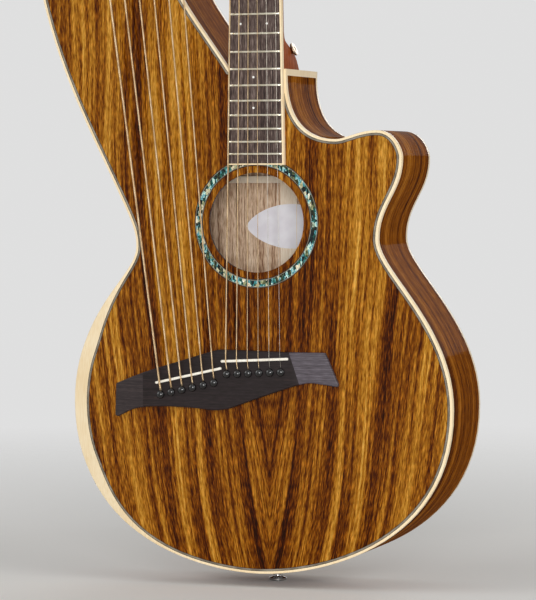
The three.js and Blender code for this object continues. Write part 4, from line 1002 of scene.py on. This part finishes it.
main_crossings = saddle("main", (-0.35, -1.9), 2.9, 11.47, -1.1)
harp_crossings = saddle("harp", (-71, -18.6), 12.7, 11.77, -1.5)
pin_model = turned("bridge_pin", PIN_PROFILE, 28)
for family, crossings in (("harp", harp_crossings), ("main", main_crossings)):
    for number, crossing in enumerate(crossings, start=1):
        seat = at(crossing.x, BRIDGE_FACE, crossing.y - PIN_SETBACK)
        pin = copied(pin_model, f"pin_{family}_{number}", Matrix.Translation(seat) @ TO_FRONT)
        settle(pin, pin_black, smooth=50)
bpy.data.objects.remove(pin_model)

# Fretboard

BOARD_CROWN = 0.25
BOARD_BINDING = 1.5
BOARD_EDGE_ROUND = 0.5
BOARD_STEPS = 8
BOARD_SHARES = [2 * step / BOARD_STEPS - 1 for step in range(BOARD_STEPS + 1)]
FRET_HALF_WIDTH = 1.2
FRET_CROWN = 1.1
FRET_INSET = 1.6
FRET_STEPS = 8
FRET_END_RUN = 1.4
FRET_TANG = 0.6
DOT_RADIUS = 1.1
DOT_PAIR_REACHES = (-15, 12.6)
DOT_REACH = -1.6
DOT_PROUD = 0.03


def board_half_width(height):
    share = (SCALE_LENGTH - height) / (SCALE_LENGTH - FRETBOARD_END)
    return blend(NUT_HALF_WIDTH, FRETBOARD_END_HALF_WIDTH, share)


def board_face(reach_share):
    """The playing face is lowest at its edges."""
    return FRETBOARD_FACE + BOARD_CROWN * reach_share ** 2


def board_ring(height):
    half = board_half_width(height) - BOARD_BINDING
    face = [at(half * share, board_face(share), height) for share in BOARD_SHARES]
    return [at(half, 0, height), at(-half, 0, height)] + face


def binding_profile(face):
    """Distances in from the outer edge, and depths."""
    return (
        (BOARD_BINDING, 0), (BOARD_BINDING, face), (BOARD_EDGE_ROUND, face),
        (BOARD_EDGE_ROUND * 0.3, face + BOARD_EDGE_ROUND * 0.3), (0, face + BOARD_EDGE_ROUND), (0, 0),
    )


def board_edge_ring(side, height):
    outer = board_half_width(height)
    return [at(side * (outer - run), depth, height) for run, depth in binding_profile(board_face(1))]


def board_end_ring(reach_share):
    reach = (board_half_width(FRETBOARD_END) - BOARD_BINDING) * reach_share
    profile = binding_profile(board_face(reach_share))
    return [at(reach, depth, FRETBOARD_END + run) for run, depth in profile]


def fret_ring(reach, height, half_length):
    """A domed section that fades at the ends of the wire."""
    fade = min(1, (half_length - abs(reach)) / FRET_END_RUN) ** 0.5
    face = board_face(reach / half_length)
    ring = [at(reach, face + FRET_TANG, height + side * FRET_HALF_WIDTH) for side in (-1, 1)]
    for step in range(FRET_STEPS + 1):
        turn = math.pi * step / FRET_STEPS
        rise = FRET_CROWN * fade * math.sin(turn)
        ring.append(at(reach, face - rise, height + FRET_HALF_WIDTH * math.cos(turn)))
    return ring


board = loft("fretboard_blank", [board_ring(FRETBOARD_END + BOARD_BINDING), board_ring(SCALE_LENGTH)])
settle(board, fretboard_wood, stands_for="fretboard")
for side, label in ((-1, "bass"), (1, "treble")):
    rings = [board_edge_ring(side, height) for height in (FRETBOARD_END, SCALE_LENGTH)]
    settle(loft(f"fretboard_binding_{label}", rings), cream_binding)
settle(loft("fretboard_binding_end", [board_end_ring(share) for share in BOARD_SHARES]), cream_binding)

for fret in range(1, FRET_COUNT + 1):
    height = fret_height(fret)
    half_length = board_half_width(height) - FRET_INSET
    reaches = [half_length - run for run in (0.01, 0.25, 0.7, FRET_END_RUN)]
    stations = [-reach for reach in reaches] + [-half_length / 2, 0, half_length / 2] + reaches[::-1]
    wire = loft(f"fret_{fret}", [fret_ring(reach, height, half_length) for reach in stations])
    settle(wire, fret_metal, smooth=45)

dot_model = turned("dot", (
    (0, -1), (DOT_RADIUS, -1), (DOT_RADIUS, 0), (DOT_RADIUS * 0.9, DOT_PROUD), (0, DOT_PROUD),
), 24)
dot_places = [(reach, DOUBLE_DOT_FRET) for reach in DOT_PAIR_REACHES]
dot_places += [(DOT_REACH, fret) for fret in SINGLE_DOT_FRETS]
for number, (reach, fret) in enumerate(dot_places, start=1):
    height = (fret_height(fret) + fret_height(fret - 1)) / 2
    seat = at(reach, board_face(reach / board_half_width(height)), height)
    settle(copied(dot_model, f"board_dot_{number}", Matrix.Translation(seat) @ TO_FRONT), fret_dot)
bpy.data.objects.remove(dot_model)

# Neck and headstock

NECK_NUT_DEPTH = 15.5
NECK_SHAFT_DEPTH = 18
HEEL_LENGTH = 37
HEEL_DEPTH = 100
HEEL_CAP_DEPTH = 88
HEEL_PROFILE = ((0, 1), (0.31, 0.86), (0.53, 0.64), (0.69, 0.34), (0.79, 0.12), (1, 0))
NECK_STEPS = 24
NECK_ROUNDNESS = 0.9
JOINT_GAP = 0.3
MAIN_NUT_THICKNESS = 5
HEAD_PLACE = SCALE_LENGTH + MAIN_NUT_THICKNESS + JOINT_GAP
HEAD_TILT = math.radians(-14)
HEAD_LENGTH = 184
HEAD_THICKNESS = 14.5
HEAD_HALF_WIDTH = 37
VENEER_THICKNESS = 1.2
HEAD_EDGE_ROUND = 1.4
VENEER_EDGE_ROUND = 0.35
HEAD_OUTLINE = (
    (0, 0.45), (0.04, 0.61), (0.09, 0.7), (0.14, 0.84), (0.21, 0.91), (0.38, 0.932),
    (0.55, 0.95), (0.75, 0.985), (0.9, 1), (0.97, 0.88), (1, 0.55),
)
head_frame = Matrix.Translation(at(0, 0, HEAD_PLACE)) @ Matrix.Rotation(HEAD_TILT, 4, "X")


def in_head(x, y, z):
    return head_frame @ mm(x, y, z)


def squared(share, power):
    """A cosine or sine bent towards a square section."""
    return math.copysign(abs(share) ** power, share)


def neck_ring(height, depth, front=0.0):
    half = board_half_width(min(height, SCALE_LENGTH))
    ring = []
    for step in range(NECK_STEPS + 1):
        turn = math.pi * step / NECK_STEPS
        across = squared(math.cos(turn), NECK_ROUNDNESS)
        ring.append(at(half * across, front + min(depth * math.sin(turn), HEEL_CAP_DEPTH), height))
    return ring


def neck_shaft():
    heel_end = NECK_JOINT_HEIGHT + HEEL_LENGTH
    rings = [
        neck_ring(NECK_JOINT_HEIGHT + HEEL_LENGTH * share.x,
                  blend(NECK_SHAFT_DEPTH, HEEL_DEPTH, max(share.y, 0)))
        for share in smooth_through([Vector(pair) for pair in HEEL_PROFILE], 5)
    ]
    rings += [
        neck_ring(blend(heel_end, SCALE_LENGTH, share), blend(NECK_SHAFT_DEPTH, NECK_NUT_DEPTH, share))
        for share in (0.33, 0.66, 1)
    ]
    rings.append(neck_ring(HEAD_PLACE, NECK_NUT_DEPTH))
    tip = (in_head(0, 0, NUT_HALF_WIDTH / 2) - ORIGIN) / MM
    return loft("neck_shaft", rings + [neck_ring(tip.z, NECK_NUT_DEPTH - JOINT_GAP, tip.y + JOINT_GAP)])


def head_slab(name, front, back):
    right = smooth_through(
        [Vector((HEAD_HALF_WIDTH * width, HEAD_LENGTH * rise)) for rise, width in HEAD_OUTLINE], 4,
    )
    outline = right + [Vector((-point.x, point.y)) for point in reversed(right)]
    return loft(name, [[in_head(point.x, depth, point.y) for point in outline] for depth in (front, back)])


settle(neck_shaft(), mahogany, stands_for="neck", smooth=45)
head_core = head_slab("headstock_core", VENEER_THICKNESS, HEAD_THICKNESS)
soften(head_core, HEAD_EDGE_ROUND, 60, segments=3)
settle(head_core, mahogany, smooth=30)
head_veneer = head_slab("headstock_veneer", 0, VENEER_THICKNESS)
soften(head_veneer, VENEER_EDGE_ROUND, 60)
settle(head_veneer, striped_veneer, smooth=30)

# Strings

STRING_SIDES = 10
BEND_RUN = 0.9
BEND_STEPS = 4
MAIN_DIAMETERS = (1.35, 1.07, 0.81, 0.61, 0.41, 0.31)
HARP_DIAMETERS = (2.1, 1.9, 1.75, 1.6, 1.5, 1.4)
WOUND_MAIN_COUNT = 4
MAIN_NUT_SPACING = 7.88
MAIN_NUT_OFFSET = -0.4
MAIN_NUT_FLOOR = -7.8
HARP_NUT_FLOOR = -7.2
HARP_NUT_MARGIN = 7.95
HARP_NUT_SPACING = 19.1
HEAD_POST_REACH = 21.5
HEAD_FIRST_POST = 38
HEAD_POST_SPACING = 35.3
POSTS_PER_SIDE = STRING_COUNT // 2
PIN_EDGE_INSET = 1.2
PIN_EDGE_DEPTH = 3
TURN_STEPS = 24
MOST_TURNS = 3
TURNS_LENGTH = 2.7
TURN_SPACING = 1.03
LAST_TURN_SHRINK = 0.35
MAIN_NUT_MIDDLE = 2.8
HARP_NUT_THICKNESS = 6
FIRST_HARP_POST = (39, 5.2)
POST_WAIST_HEIGHT = 7
POST_WAIST_RADIUS = 2.5
HARP_HEAD_DROP = 5
HARP_POST_SPACING = 25
HARP_ROW_DEGREES = 38


def eased_corners(points):
    """The route with its inner corners rounded over a short run."""
    route = [points[0]]
    for before, corner, after in zip(points, points[1:], points[2:]):
        enter = corner + (before - corner).normalized() * BEND_RUN * MM
        leave = corner + (after - corner).normalized() * BEND_RUN * MM
        for step in range(BEND_STEPS + 1):
            t = step / BEND_STEPS
            route.append(enter * (1 - t) ** 2 + corner * 2 * t * (1 - t) + leave * t ** 2)
    return route + [points[-1]]


def tube(name, route, radius):
    """A round bar along a route, with its length kept for the windings."""
    rings, lengths, across = [], [0], Vector((1, 0, 0))
    for index, point in enumerate(route):
        before = route[max(index - 1, 0)]
        along = (route[min(index + 1, len(route) - 1)] - before).normalized()
        across = (across - along * across.dot(along)).normalized()
        up = along.cross(across)
        rings.append([
            point + (across * cosine + up * sine) * radius * MM for cosine, sine in circle(STRING_SIDES)
        ])
        if index:
            lengths.append(lengths[-1] + (point - before).length / MM)
    return loft(name, rings, lengths=lengths)


def string_route(crossing, nut_place, nut_floor, post_side, radius):
    pin_edge = crossing.y - PIN_SETBACK + PIN_RADIUS
    return eased_corners([
        at(crossing.x, BRIDGE_FACE + PIN_EDGE_DEPTH, pin_edge - PIN_EDGE_INSET),
        at(crossing.x, BRIDGE_FACE - radius * 0.6, pin_edge + radius + 0.4),
        laid(crossing, SADDLE_TOP - radius),
        laid(nut_place, nut_floor - radius),
        post_side,
    ])


def turns_route(centre, start, turning, axis, diameter):
    """Turns of string round a post, from where it arrives down towards the head."""
    forward = axis.cross(start).normalized() * turning
    outward = start.normalized()
    turns = min(MOST_TURNS, TURNS_LENGTH / diameter)
    steps = int(turns * TURN_STEPS)
    route = []
    for step in range(steps + 1):
        turn = 2 * math.pi * turns * step / steps
        shrink = 1 - LAST_TURN_SHRINK * ease(step / steps, 0.93, 1)
        place = (outward * math.cos(turn) + forward * math.sin(turn)) * start.length * shrink
        route.append(centre + place - axis * diameter * MM * turn / (2 * math.pi) * TURN_SPACING)
    return route


def add_string(label, crossing, nut_place, nut_floor, centre, outward, axis, diameter, material):
    """The speaking length on the body, and the turns that the post carries."""
    radius = diameter / 2
    beside = outward * (POST_WAIST_RADIUS + radius) * MM
    route = string_route(crossing, nut_place, nut_floor, centre + beside, radius)
    line = tube(f"string_line_{label}", route, radius)
    settle(line, material, stands_for=f"string_{label}", smooth=60)
    turning = 1 if axis.cross(beside).dot(centre + beside - route[-2]) > 0 else -1
    turns = tube(f"string_turns_{label}", turns_route(centre, beside, turning, axis, diameter), radius)
    settle(turns, material, body=f"post_{label}", smooth=60)


harp_nut_middle = arm_end_inner + arm_across * (ARM_END_WIDTH / 2) + harp_lean * HARP_NUT_THICKNESS
harp_nut_places = [
    harp_nut_middle + arm_across * (ARM_END_WIDTH / 2 - HARP_NUT_MARGIN - index * HARP_NUT_SPACING)
    for index in range(STRING_COUNT)
]
harp_row = heading(HARP_ROW_DEGREES)
harp_buttons = heading(HARP_ROW_DEGREES + 90)
harp_first_post = harp_nut_places[0] + harp_lean * FIRST_HARP_POST[0] + arm_across * FIRST_HARP_POST[1]
harp_posts = [harp_first_post + harp_row * (index * HARP_POST_SPACING) for index in range(STRING_COUNT)]
head_axis = (in_head(0, -1, 0) - in_head(0, 0, 0)).normalized()
for index in range(STRING_COUNT):
    side, rank = (-1, index) if index < POSTS_PER_SIDE else (1, STRING_COUNT - 1 - index)
    nut_place = Vector((centred(index) * MAIN_NUT_SPACING + MAIN_NUT_OFFSET, SCALE_LENGTH + MAIN_NUT_MIDDLE))
    centre = in_head(side * HEAD_POST_REACH, -POST_WAIST_HEIGHT, HEAD_FIRST_POST + rank * HEAD_POST_SPACING)
    add_string(
        f"main_{index + 1}", main_crossings[index], nut_place, MAIN_NUT_FLOOR, centre, Vector((-side, 0, 0)),
        head_axis, MAIN_DIAMETERS[index], wound_bronze if index < WOUND_MAIN_COUNT else plain_steel,
    )
    centre = laid(harp_posts[index], HARP_HEAD_DROP - POST_WAIST_HEIGHT)
    add_string(
        f"harp_{index + 1}", harp_crossings[index], harp_nut_places[index], HARP_NUT_FLOOR, centre,
        Vector((-arm_across.x, 0, -arm_across.y)), Vector((0, -1, 0)), HARP_DIAMETERS[index], wound_bronze,
    )

# Strap button and end pin jack

STRAP_BUTTON_RISE = 17
STRAP_BUTTON_DEPTH = 34
STRAP_BUTTON_SINK = 8.3
STRAP_BUTTON_DEGREES = 25
STRAP_BUTTON_PROFILE = (
    (0, 0.3), (5, 0.3), (5, 0.8), (4.6, 1.5), (3.9, 2.6), (3.6, 3.8), (3.6, 5.2), (3.9, 6.2),
    (4.8, 7), (6.2, 7.4), (6.7, 7.9), (6.7, 9.1), (6.3, 9.6), (5, 9.85), (2.6, 9.9), (2.4, 9.5), (0, 9.5),
)
JACK_DEPTH = 60
JACK_PROFILE = (
    (0, -34), (5, -34), (5, 0.3), (8.4, 0.3), (9, 0.8), (9, 2.4), (8.5, 2.9), (6, 3.7), (5.1, 4.6), (5, 5.4),
    (5, 8.6), (5.1, 9.4), (6, 10.3), (8.4, 11), (9, 11.6), (9, 13.2), (8.6, 13.7), (7.8, 14), (3.7, 14),
    (3.3, 13.6), (3.3, -18), (0, -18),
)
strap_height = NECK_JOINT_HEIGHT + STRAP_BUTTON_RISE
strap_place = at(board_half_width(strap_height) - STRAP_BUTTON_SINK, STRAP_BUTTON_DEPTH, strap_height)
strap_turn = Matrix.Rotation(math.radians(90 - STRAP_BUTTON_DEGREES), 4, "Y")
strap_frame = Matrix.Translation(strap_place) @ strap_turn
strap_button = turned("strap_button_turned", STRAP_BUTTON_PROFILE, 48, strap_frame)
# The strap button's brown tint is a painted reflection of the heel
settle(strap_button, chrome_painted_heel_reflection, stands_for="strap_button")
jack_frame = Matrix.Translation(at(0, JACK_DEPTH, TAIL_HEIGHT)) @ Matrix.Rotation(math.pi, 4, "X")
settle(turned("end_pin_turned", JACK_PROFILE, 48, jack_frame), chrome, stands_for="endpin_jack")

# Harp head

HARP_HEAD_THICKNESS = 15
HARP_HEAD_EDGE_ROUND = 1.2
HARP_HEAD_EDGE = 13
HARP_HEAD_EDGE_RUN = 9
HARP_HEAD_TIP_REACH = 15
HARP_HEAD_SWEEP = 26
HARP_HEAD_SWEEP_START = 5
HARP_HEAD_FAR = 260
SWEEP_STEPS = 20


def harp_head_outline():
    foot_outer, foot_inner = arm_end_outer + harp_lean * JOINT_GAP, arm_end_inner + harp_lean * JOINT_GAP
    edge_start = harp_posts[0] + harp_buttons * HARP_HEAD_EDGE - harp_row * HARP_HEAD_EDGE_RUN
    edge_end = harp_posts[-1] + harp_buttons * HARP_HEAD_EDGE + harp_row * HARP_HEAD_EDGE_RUN
    tip = Vector((harp_posts[-1].x + HARP_HEAD_TIP_REACH, harp_posts[-1].y))
    return [
        *bend(foot_outer, 100, 0.4, edge_start, HARP_ROW_DEGREES, 0.4, 16), edge_start,
        *bend(edge_end, HARP_ROW_DEGREES, 0.6, tip, 268, 0.5, 16),
        *bend(tip, 268, 0.4, foot_inner, 258, 0.3, 16), foot_inner,
    ]


def harp_head_core():
    """A deep block at the arm's end, hollowed from behind to the thickness of the head."""
    back = back_at(arm_end_inner.y)
    head_back = HARP_HEAD_DROP + HARP_HEAD_THICKNESS
    core = slab("harp_head_core", harp_head_outline(), HARP_HEAD_DROP + VENEER_THICKNESS, back)
    sweep = [(HARP_HEAD_SWEEP_START, 2 * back)]
    for step in range(SWEEP_STEPS + 1):
        turn = math.pi / 2 * step / SWEEP_STEPS
        sweep.append((
            HARP_HEAD_SWEEP - (HARP_HEAD_SWEEP - HARP_HEAD_SWEEP_START) * math.cos(turn),
            back - (back - head_back) * math.sin(turn),
        ))
    sweep += [(HARP_HEAD_FAR, head_back), (HARP_HEAD_FAR, 2 * back)]
    starts = [arm_end_inner + arm_across * reach for reach in (-ARM_END_WIDTH / 2, 2 * ARM_END_WIDTH)]
    carve(core, loft("sweep_cutter", [
        [at(start.x + harp_lean.x * along, depth, start.y + harp_lean.y * along) for along, depth in sweep]
        for start in starts
    ]))
    soften(core, HARP_HEAD_EDGE_ROUND, 50, segments=3)
    return core


settle(harp_head_core(), mahogany, stands_for="harp_head", smooth=30)
harp_veneer = slab(
    "harp_head_veneer", harp_head_outline(), HARP_HEAD_DROP, HARP_HEAD_DROP + VENEER_THICKNESS,
)
soften(harp_veneer, VENEER_EDGE_ROUND, 60)
settle(harp_veneer, striped_veneer, smooth=30)

# Tuning machines

# In a machine's frame X runs along the row, Y out to the button and Z to the front,
# with the head's back face at Z zero.

GEAR_TEETH = 14
GEAR_MODULE = 0.8
GEAR_WIDTH = 3.2
GEAR_MIDDLE = -4.95
PLATE_BACK = -1.5
PITCH_RADIUS = GEAR_TEETH * GEAR_MODULE / 2
ROOT_RADIUS = PITCH_RADIUS - 0.9 * GEAR_MODULE
TIP_RADIUS = PITCH_RADIUS + 0.9 * GEAR_MODULE
WORM_RADIUS = 3.15
WORM_CORE_RADIUS = 1.6
WORM_ROOT_RADIUS = WORM_CORE_RADIUS - 0.35
WORM_HALF_LENGTH = 2.7
WORM_PITCH = math.pi * GEAR_MODULE
WORM_SECTION = (
    (-0.3, WORM_ROOT_RADIUS), (-0.205, 2.4), (-0.11, WORM_RADIUS), (0.11, WORM_RADIUS), (0.205, 2.4),
    (0.3, WORM_ROOT_RADIUS),
)
THREAD_STEPS = 24
BUTTON_SQUARENESS = 0.85
BUTTON_SIDES = 32
POST_RADIUS = 3.1
SHAFT_RADIUS = 1.4
SCREW_ALONG = 7.4
SCREW_ACROSS = 6.2
# Radii of the post and of its bushing at their rises over the head's front face
POST_PROFILE = (
    (POST_RADIUS, 3.5), (2.85, 3.9), (2.55, 4.4), (POST_WAIST_RADIUS, 5), (POST_WAIST_RADIUS, 8.8),
    (2.6, 9.3), (2.9, 9.7), (POST_RADIUS, 10), (POST_RADIUS, 10.6), (2.75, 11), (1.3, 11), (1.1, 10.7),
    (0, 10.7),
)
WASHER_PROFILE = ((3.4, -0.2), (6.1, -0.2), (6.1, 0.3), (5.8, 0.55), (3.4, 0.55), (3.4, -0.2))
HEXAGON_PROFILE = (
    (3.35, 0.4), (5, 0.4), (5.2, 0.7), (5.2, 2), (4.7, 2.5), (3.9, 2.7), (3.35, 2.5), (3.35, 0.4),
)
BUTTON_START = 16.8
BUTTON_LENGTH = 18
BUTTON_STATIONS = (
    (-0.03, 2, 2), (0.08, 2.1, 2), (0.15, 3.1, 2.3), (0.23, 5.3, 2.9), (0.34, 7, 3.5), (0.48, 7.9, 3.9),
    (0.62, 8.2, 4), (0.76, 7.8, 3.75), (0.87, 6.5, 3.1), (0.94, 4.7, 2.2), (0.985, 2.3, 1.1), (1, 0, 0),
)
KNOB_SHAFT_PROFILE = (
    (0, -7.65), (1.2, -7.65), (SHAFT_RADIUS, -7.45), (SHAFT_RADIUS, -4.05), (2.3, -4.05), (2.3, -3.75),
    (WORM_CORE_RADIUS, -3.45), (WORM_CORE_RADIUS, 3.45), (2.3, 3.75), (2.3, 4.05), (SHAFT_RADIUS, 4.05),
    (SHAFT_RADIUS, 7.7), (2.1, 7.7), (2.2, 7.9), (2.2, 8.9), (2.1, 9.1), (SHAFT_RADIUS, 9.1),
    (SHAFT_RADIUS, 15.4), (1.8, 15.7), (1.9, BUTTON_START), (0, BUTTON_START),
)


def gear_wheel():
    """A worm wheel whose teeth lean with the thread."""
    pitch = 2 * math.pi / GEAR_TEETH
    lead = WORM_PITCH / (math.pi * (WORM_RADIUS + WORM_CORE_RADIUS))
    lean = lead * GEAR_WIDTH / 2 / PITCH_RADIUS
    flank = (
        (-0.5, ROOT_RADIUS), (-0.248, ROOT_RADIUS), (-0.196, PITCH_RADIUS), (-0.136, TIP_RADIUS),
        (0.136, TIP_RADIUS), (0.196, PITCH_RADIUS), (0.248, ROOT_RADIUS),
    )
    rings = []
    for share, shrink in ((-1, 0.3), (-0.84, 0), (0, 0), (0.84, 0), (1, 0.3)):
        place = GEAR_MIDDLE + GEAR_WIDTH / 2 * share
        corners = [
            (min(radius, TIP_RADIUS - shrink), (tooth + shift) * pitch + lean * share)
            for tooth in range(GEAR_TEETH) for shift, radius in flank
        ]
        rings.append([mm(reach * math.cos(turn), reach * math.sin(turn), place) for reach, turn in corners])
    return loft("gear_wheel", rings)


def slotted_screw(name, radius, height, seat):
    """A domed screw head with a slot, seated at a place and facing the back."""
    head = turned(name, [
        (0, seat + 0.3), (radius, seat + 0.3), (radius, seat - height * 0.35),
        (radius * 0.85, seat - height * 0.72), (radius * 0.5, seat - height * 0.95), (0, seat - height),
    ], 28)
    deselect_all()
    bpy.ops.mesh.primitive_cube_add(size=1, location=(0, 0, (seat - height) * MM))
    slot_cutter = started("slot_cutter")
    bpy.ops.transform.resize(value=(radius * 2.4 * MM, radius * 0.26 * MM, height * 0.9 * MM))
    bpy.ops.object.transform_apply(location=True, rotation=True, scale=True)
    carve(head, slot_cutter)
    return head


def raised(profile, thickness):
    return [(radius, thickness + rise) for radius, rise in profile]


def post_machine(thickness):
    """The string post with its worm wheel and the screw that holds it."""
    shaft = turned("post_shaft", [
        (0, GEAR_MIDDLE), (3.6, GEAR_MIDDLE), (3.6, PLATE_BACK - 0.3), (POST_RADIUS, PLATE_BACK - 0.3),
        *raised(POST_PROFILE, thickness),
    ], 36)
    wheel_face = GEAR_MIDDLE - GEAR_WIDTH / 2
    hub = turned("gear_hub", [
        (0, GEAR_MIDDLE), (3.4, GEAR_MIDDLE), (3.4, wheel_face - 0.25), (3.1, wheel_face - 0.5),
        (0, wheel_face - 0.5),
    ], 36)
    screw = slotted_screw("gear_screw", 2.3, 0.9, wheel_face - 0.5)
    return joined("post_machine", shaft, gear_wheel(), hub, screw)


def worm_thread():
    half_steps = round(WORM_HALF_LENGTH / WORM_PITCH * THREAD_STEPS)
    rings = []
    for step in range(-half_steps, half_steps + 1):
        turn = 2 * math.pi * step / THREAD_STEPS
        rise = 0.25 + 0.75 * ease(half_steps - abs(step), 0, 5)
        corners = [(share, blend(WORM_ROOT_RADIUS, radius, rise)) for share, radius in WORM_SECTION]
        rings.append([
            mm(reach * math.cos(turn), WORM_PITCH * (step / THREAD_STEPS + share), -reach * math.sin(turn))
            for share, reach in corners
        ])
    return loft("worm_thread", rings)


def knob_machine():
    """The worm, its shaft through the two ears, and the button."""
    lie_down = Matrix.Rotation(-math.pi / 2, 4, "X")
    shaft = turned("worm_shaft", KNOB_SHAFT_PROFILE, 28, lie_down)
    rings = [
        [mm(wide * squared(across, BUTTON_SQUARENESS), BUTTON_START + BUTTON_LENGTH * share,
            thick * squared(up, BUTTON_SQUARENESS)) for across, up in circle(BUTTON_SIDES)]
        for share, wide, thick in BUTTON_STATIONS
    ]
    return joined("knob_machine", shaft, worm_thread(), loft("button", rings))


def joint_frame(joint_name):
    """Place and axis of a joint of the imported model."""
    joint = next(item for item in frame["joints"] if item["name"] == joint_name)
    return Vector(joint["pos_m"]), Vector(joint["axis"]).normalized()


knob_model = knob_machine()
plate_screw = slotted_screw("plate_screw", 1.9, 1.1, PLATE_BACK)
for family, thickness in (("main", HEAD_THICKNESS), ("harp", HARP_HEAD_THICKNESS)):
    post_model = post_machine(thickness)
    washer = turned("bushing_washer", raised(WASHER_PROFILE, thickness), 40)
    hexagon = turned("bushing_nut", raised(HEXAGON_PROFILE, thickness), 6)
    bushing_model = joined("post_bushing", washer, hexagon)
    for number in range(1, STRING_COUNT + 1):
        label = f"{family}_{number}"
        post_place, front = joint_frame(f"post_{label}_turn")
        knob_place, outward = joint_frame(f"knob_{label}_turn")
        along = outward.cross(front)
        worm_side = math.copysign(1, (knob_place - post_place).dot(along))
        axes = Matrix((along, outward, front)).transposed().to_4x4()
        post_frame = Matrix.Translation(post_place) @ axes
        half_turn = Matrix.Rotation(0 if worm_side > 0 else math.pi, 4, "Y")
        knob_frame = Matrix.Translation(knob_place) @ axes @ half_turn
        for part, model, placing in (("post", post_model, post_frame), ("knob", knob_model, knob_frame)):
            piece, node = copied(model, f"machine_{part}_{label}", placing), f"{part}_{label}"
            settle(piece, chrome, body=node, stands_for=node)
        settle(copied(bushing_model, f"machine_bushing_{label}", post_frame), chrome)
        for side, edge in ((-1, "inner"), (1, "outer")):
            place = Matrix.Translation(mm(-worm_side * SCREW_ALONG, side * SCREW_ACROSS, 0))
            settle(copied(plate_screw, f"plate_screw_{label}_{edge}", post_frame @ place), chrome)
    bpy.data.objects.remove(post_model)
    bpy.data.objects.remove(bushing_model)
bpy.data.objects.remove(knob_model)
bpy.data.objects.remove(plate_screw)

# Carried-over solids


def refined(name, node, bevel, material):
    """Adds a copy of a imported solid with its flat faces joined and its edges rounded."""
    piece = copied(frame["nodes"][node], name)
    piece.parent = None
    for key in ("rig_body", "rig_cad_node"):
        del piece[key]
    piece.data.materials.clear()
    tidy_shell(piece)
    edit_whole(piece)
    bpy.ops.mesh.dissolve_limited(angle_limit=math.radians(1))
    bpy.ops.object.mode_set(mode="OBJECT")
    soften(piece, bevel, 35)
    settle(piece, material, stands_for=node)


refined("nut_main", "main_nut", 0.35, bone)
refined("nut_harp", "harp_nut", 0.35, bone)
for row in ("bass", "treble", "harp"):
    refined(f"machine_plate_{row}", f"tuner_plate_{row}", 0.25, chrome)
for node, material in (
    ("top_bracing", spruce), ("back_bracing", spruce), ("neck_block", mahogany), ("tail_block", mahogany),
):
    for held in frame["nodes"][node].material_slots:
        held.material = material

# Stage, light and camera

FLOOR_REACH = 4
FLOOR_DROP = 0.0004
FLOOR_FADE = (0.45, 1.9)
BACKDROP_LEVEL = 0.74
AMBIENT = 0.28
# The photograph's view: a long lens about 3 m away, 19 degrees round to the treble side
CAMERA_PLACE = (0.9785, -2.7912, 0.1844)
CAMERA_DEGREES = (87.551, 0.1753, 19.1117)
CAMERA_LENS = 177.4
CAMERA_SENSOR = 36

deselect_all()
bpy.ops.mesh.primitive_circle_add(
    vertices=64, radius=FLOOR_REACH, fill_type="NGON", location=(0, 0, -FLOOR_DROP),
)
floor = started("studio_floor")
paper, tree, shader, places, axes = new_material("studio_paper")
paper_tone = ramp(tree, speckle(tree, places, 0.6), (0.3, 236, 235, 232), (0.7, 240, 239, 236))
feed(tree, shader, {"Base Color": paper_tone, "Roughness": 0.9, "Specular IOR Level": 0.0})
# Far from the object the floor fades into the backdrop, so that no edge shows
from_middle = point_of(tree, axes["X"], axes["Y"], 0.0)
reach = put(tree, "ShaderNodeVectorMath", {0: from_middle}, operation="LENGTH").outputs["Value"]
fade = put(tree, "ShaderNodeMixShader", {
    0: spread(tree, reach, *FLOOR_FADE), 1: shader.outputs["BSDF"],
    2: put(tree, "ShaderNodeBsdfTransparent").outputs["BSDF"],
}).outputs["Shader"]
tree.links.new(fade, tree.nodes["Material Output"].inputs["Surface"])
floor.data.materials.append(paper)


def soft_light(name, place, target, width, height, power):
    """A wide lamp, unseen itself, aimed at a place."""
    deselect_all()
    bpy.ops.object.light_add(type="AREA", location=place)
    lamp = bpy.context.object
    lamp.name = name
    lamp.data.shape = "RECTANGLE"
    lamp.data.size = width
    lamp.data.size_y = height
    lamp.data.energy = power
    lamp.rotation_mode = "QUATERNION"
    lamp.rotation_quaternion = (Vector(target) - Vector(place)).to_track_quat("-Z", "Y")
    lamp.visible_camera = False


soft_light("key_light", (1.0, -3.1, 0.62), (0, 0, 0.4), 1.2, 1.1, 72)
soft_light("left_light", (-2.6, -1.6, 1.6), (0, 0, 0.5), 1.8, 1.8, 28)
soft_light("right_light", (2.8, -0.9, 1.3), (0, 0, 0.4), 1.6, 1.8, 25)
soft_light("back_light", (0.2, 3.4, 1.5), (0, 0, 0.6), 2.2, 1.6, 34)

world = bpy.data.worlds.new("studio_world")
bpy.context.scene.world = world
world.use_nodes = True
air = world.node_tree
air.nodes.clear()
rays = put(air, "ShaderNodeLightPath").outputs
seen = calc(air, "MAXIMUM", rays["Is Glossy Ray"], rays["Is Transmission Ray"])
seen = calc(air, "MAXIMUM", rays["Is Camera Ray"], seen)
strength = spread(air, seen, 0.0, 1.0, AMBIENT, BACKDROP_LEVEL)
sky = put(air, "ShaderNodeBackground", {"Color": (1, 1, 1, 1), "Strength": strength})
put(air, "ShaderNodeOutputWorld", {"Surface": sky.outputs["Background"]})

camera_data = bpy.data.cameras.new("photo_camera")
camera_data.lens = CAMERA_LENS
camera_data.sensor_width = CAMERA_SENSOR
camera = bpy.data.objects.new("photo_camera", camera_data)
bpy.context.scene.collection.objects.link(camera)
camera_turn = Euler([math.radians(degrees) for degrees in CAMERA_DEGREES])
camera.matrix_world = Matrix.Translation(ORIGIN + Vector(CAMERA_PLACE)) @ camera_turn.to_matrix().to_4x4()
bpy.context.scene.camera = camera
bpy.context.scene.view_settings.view_transform = "Standard"
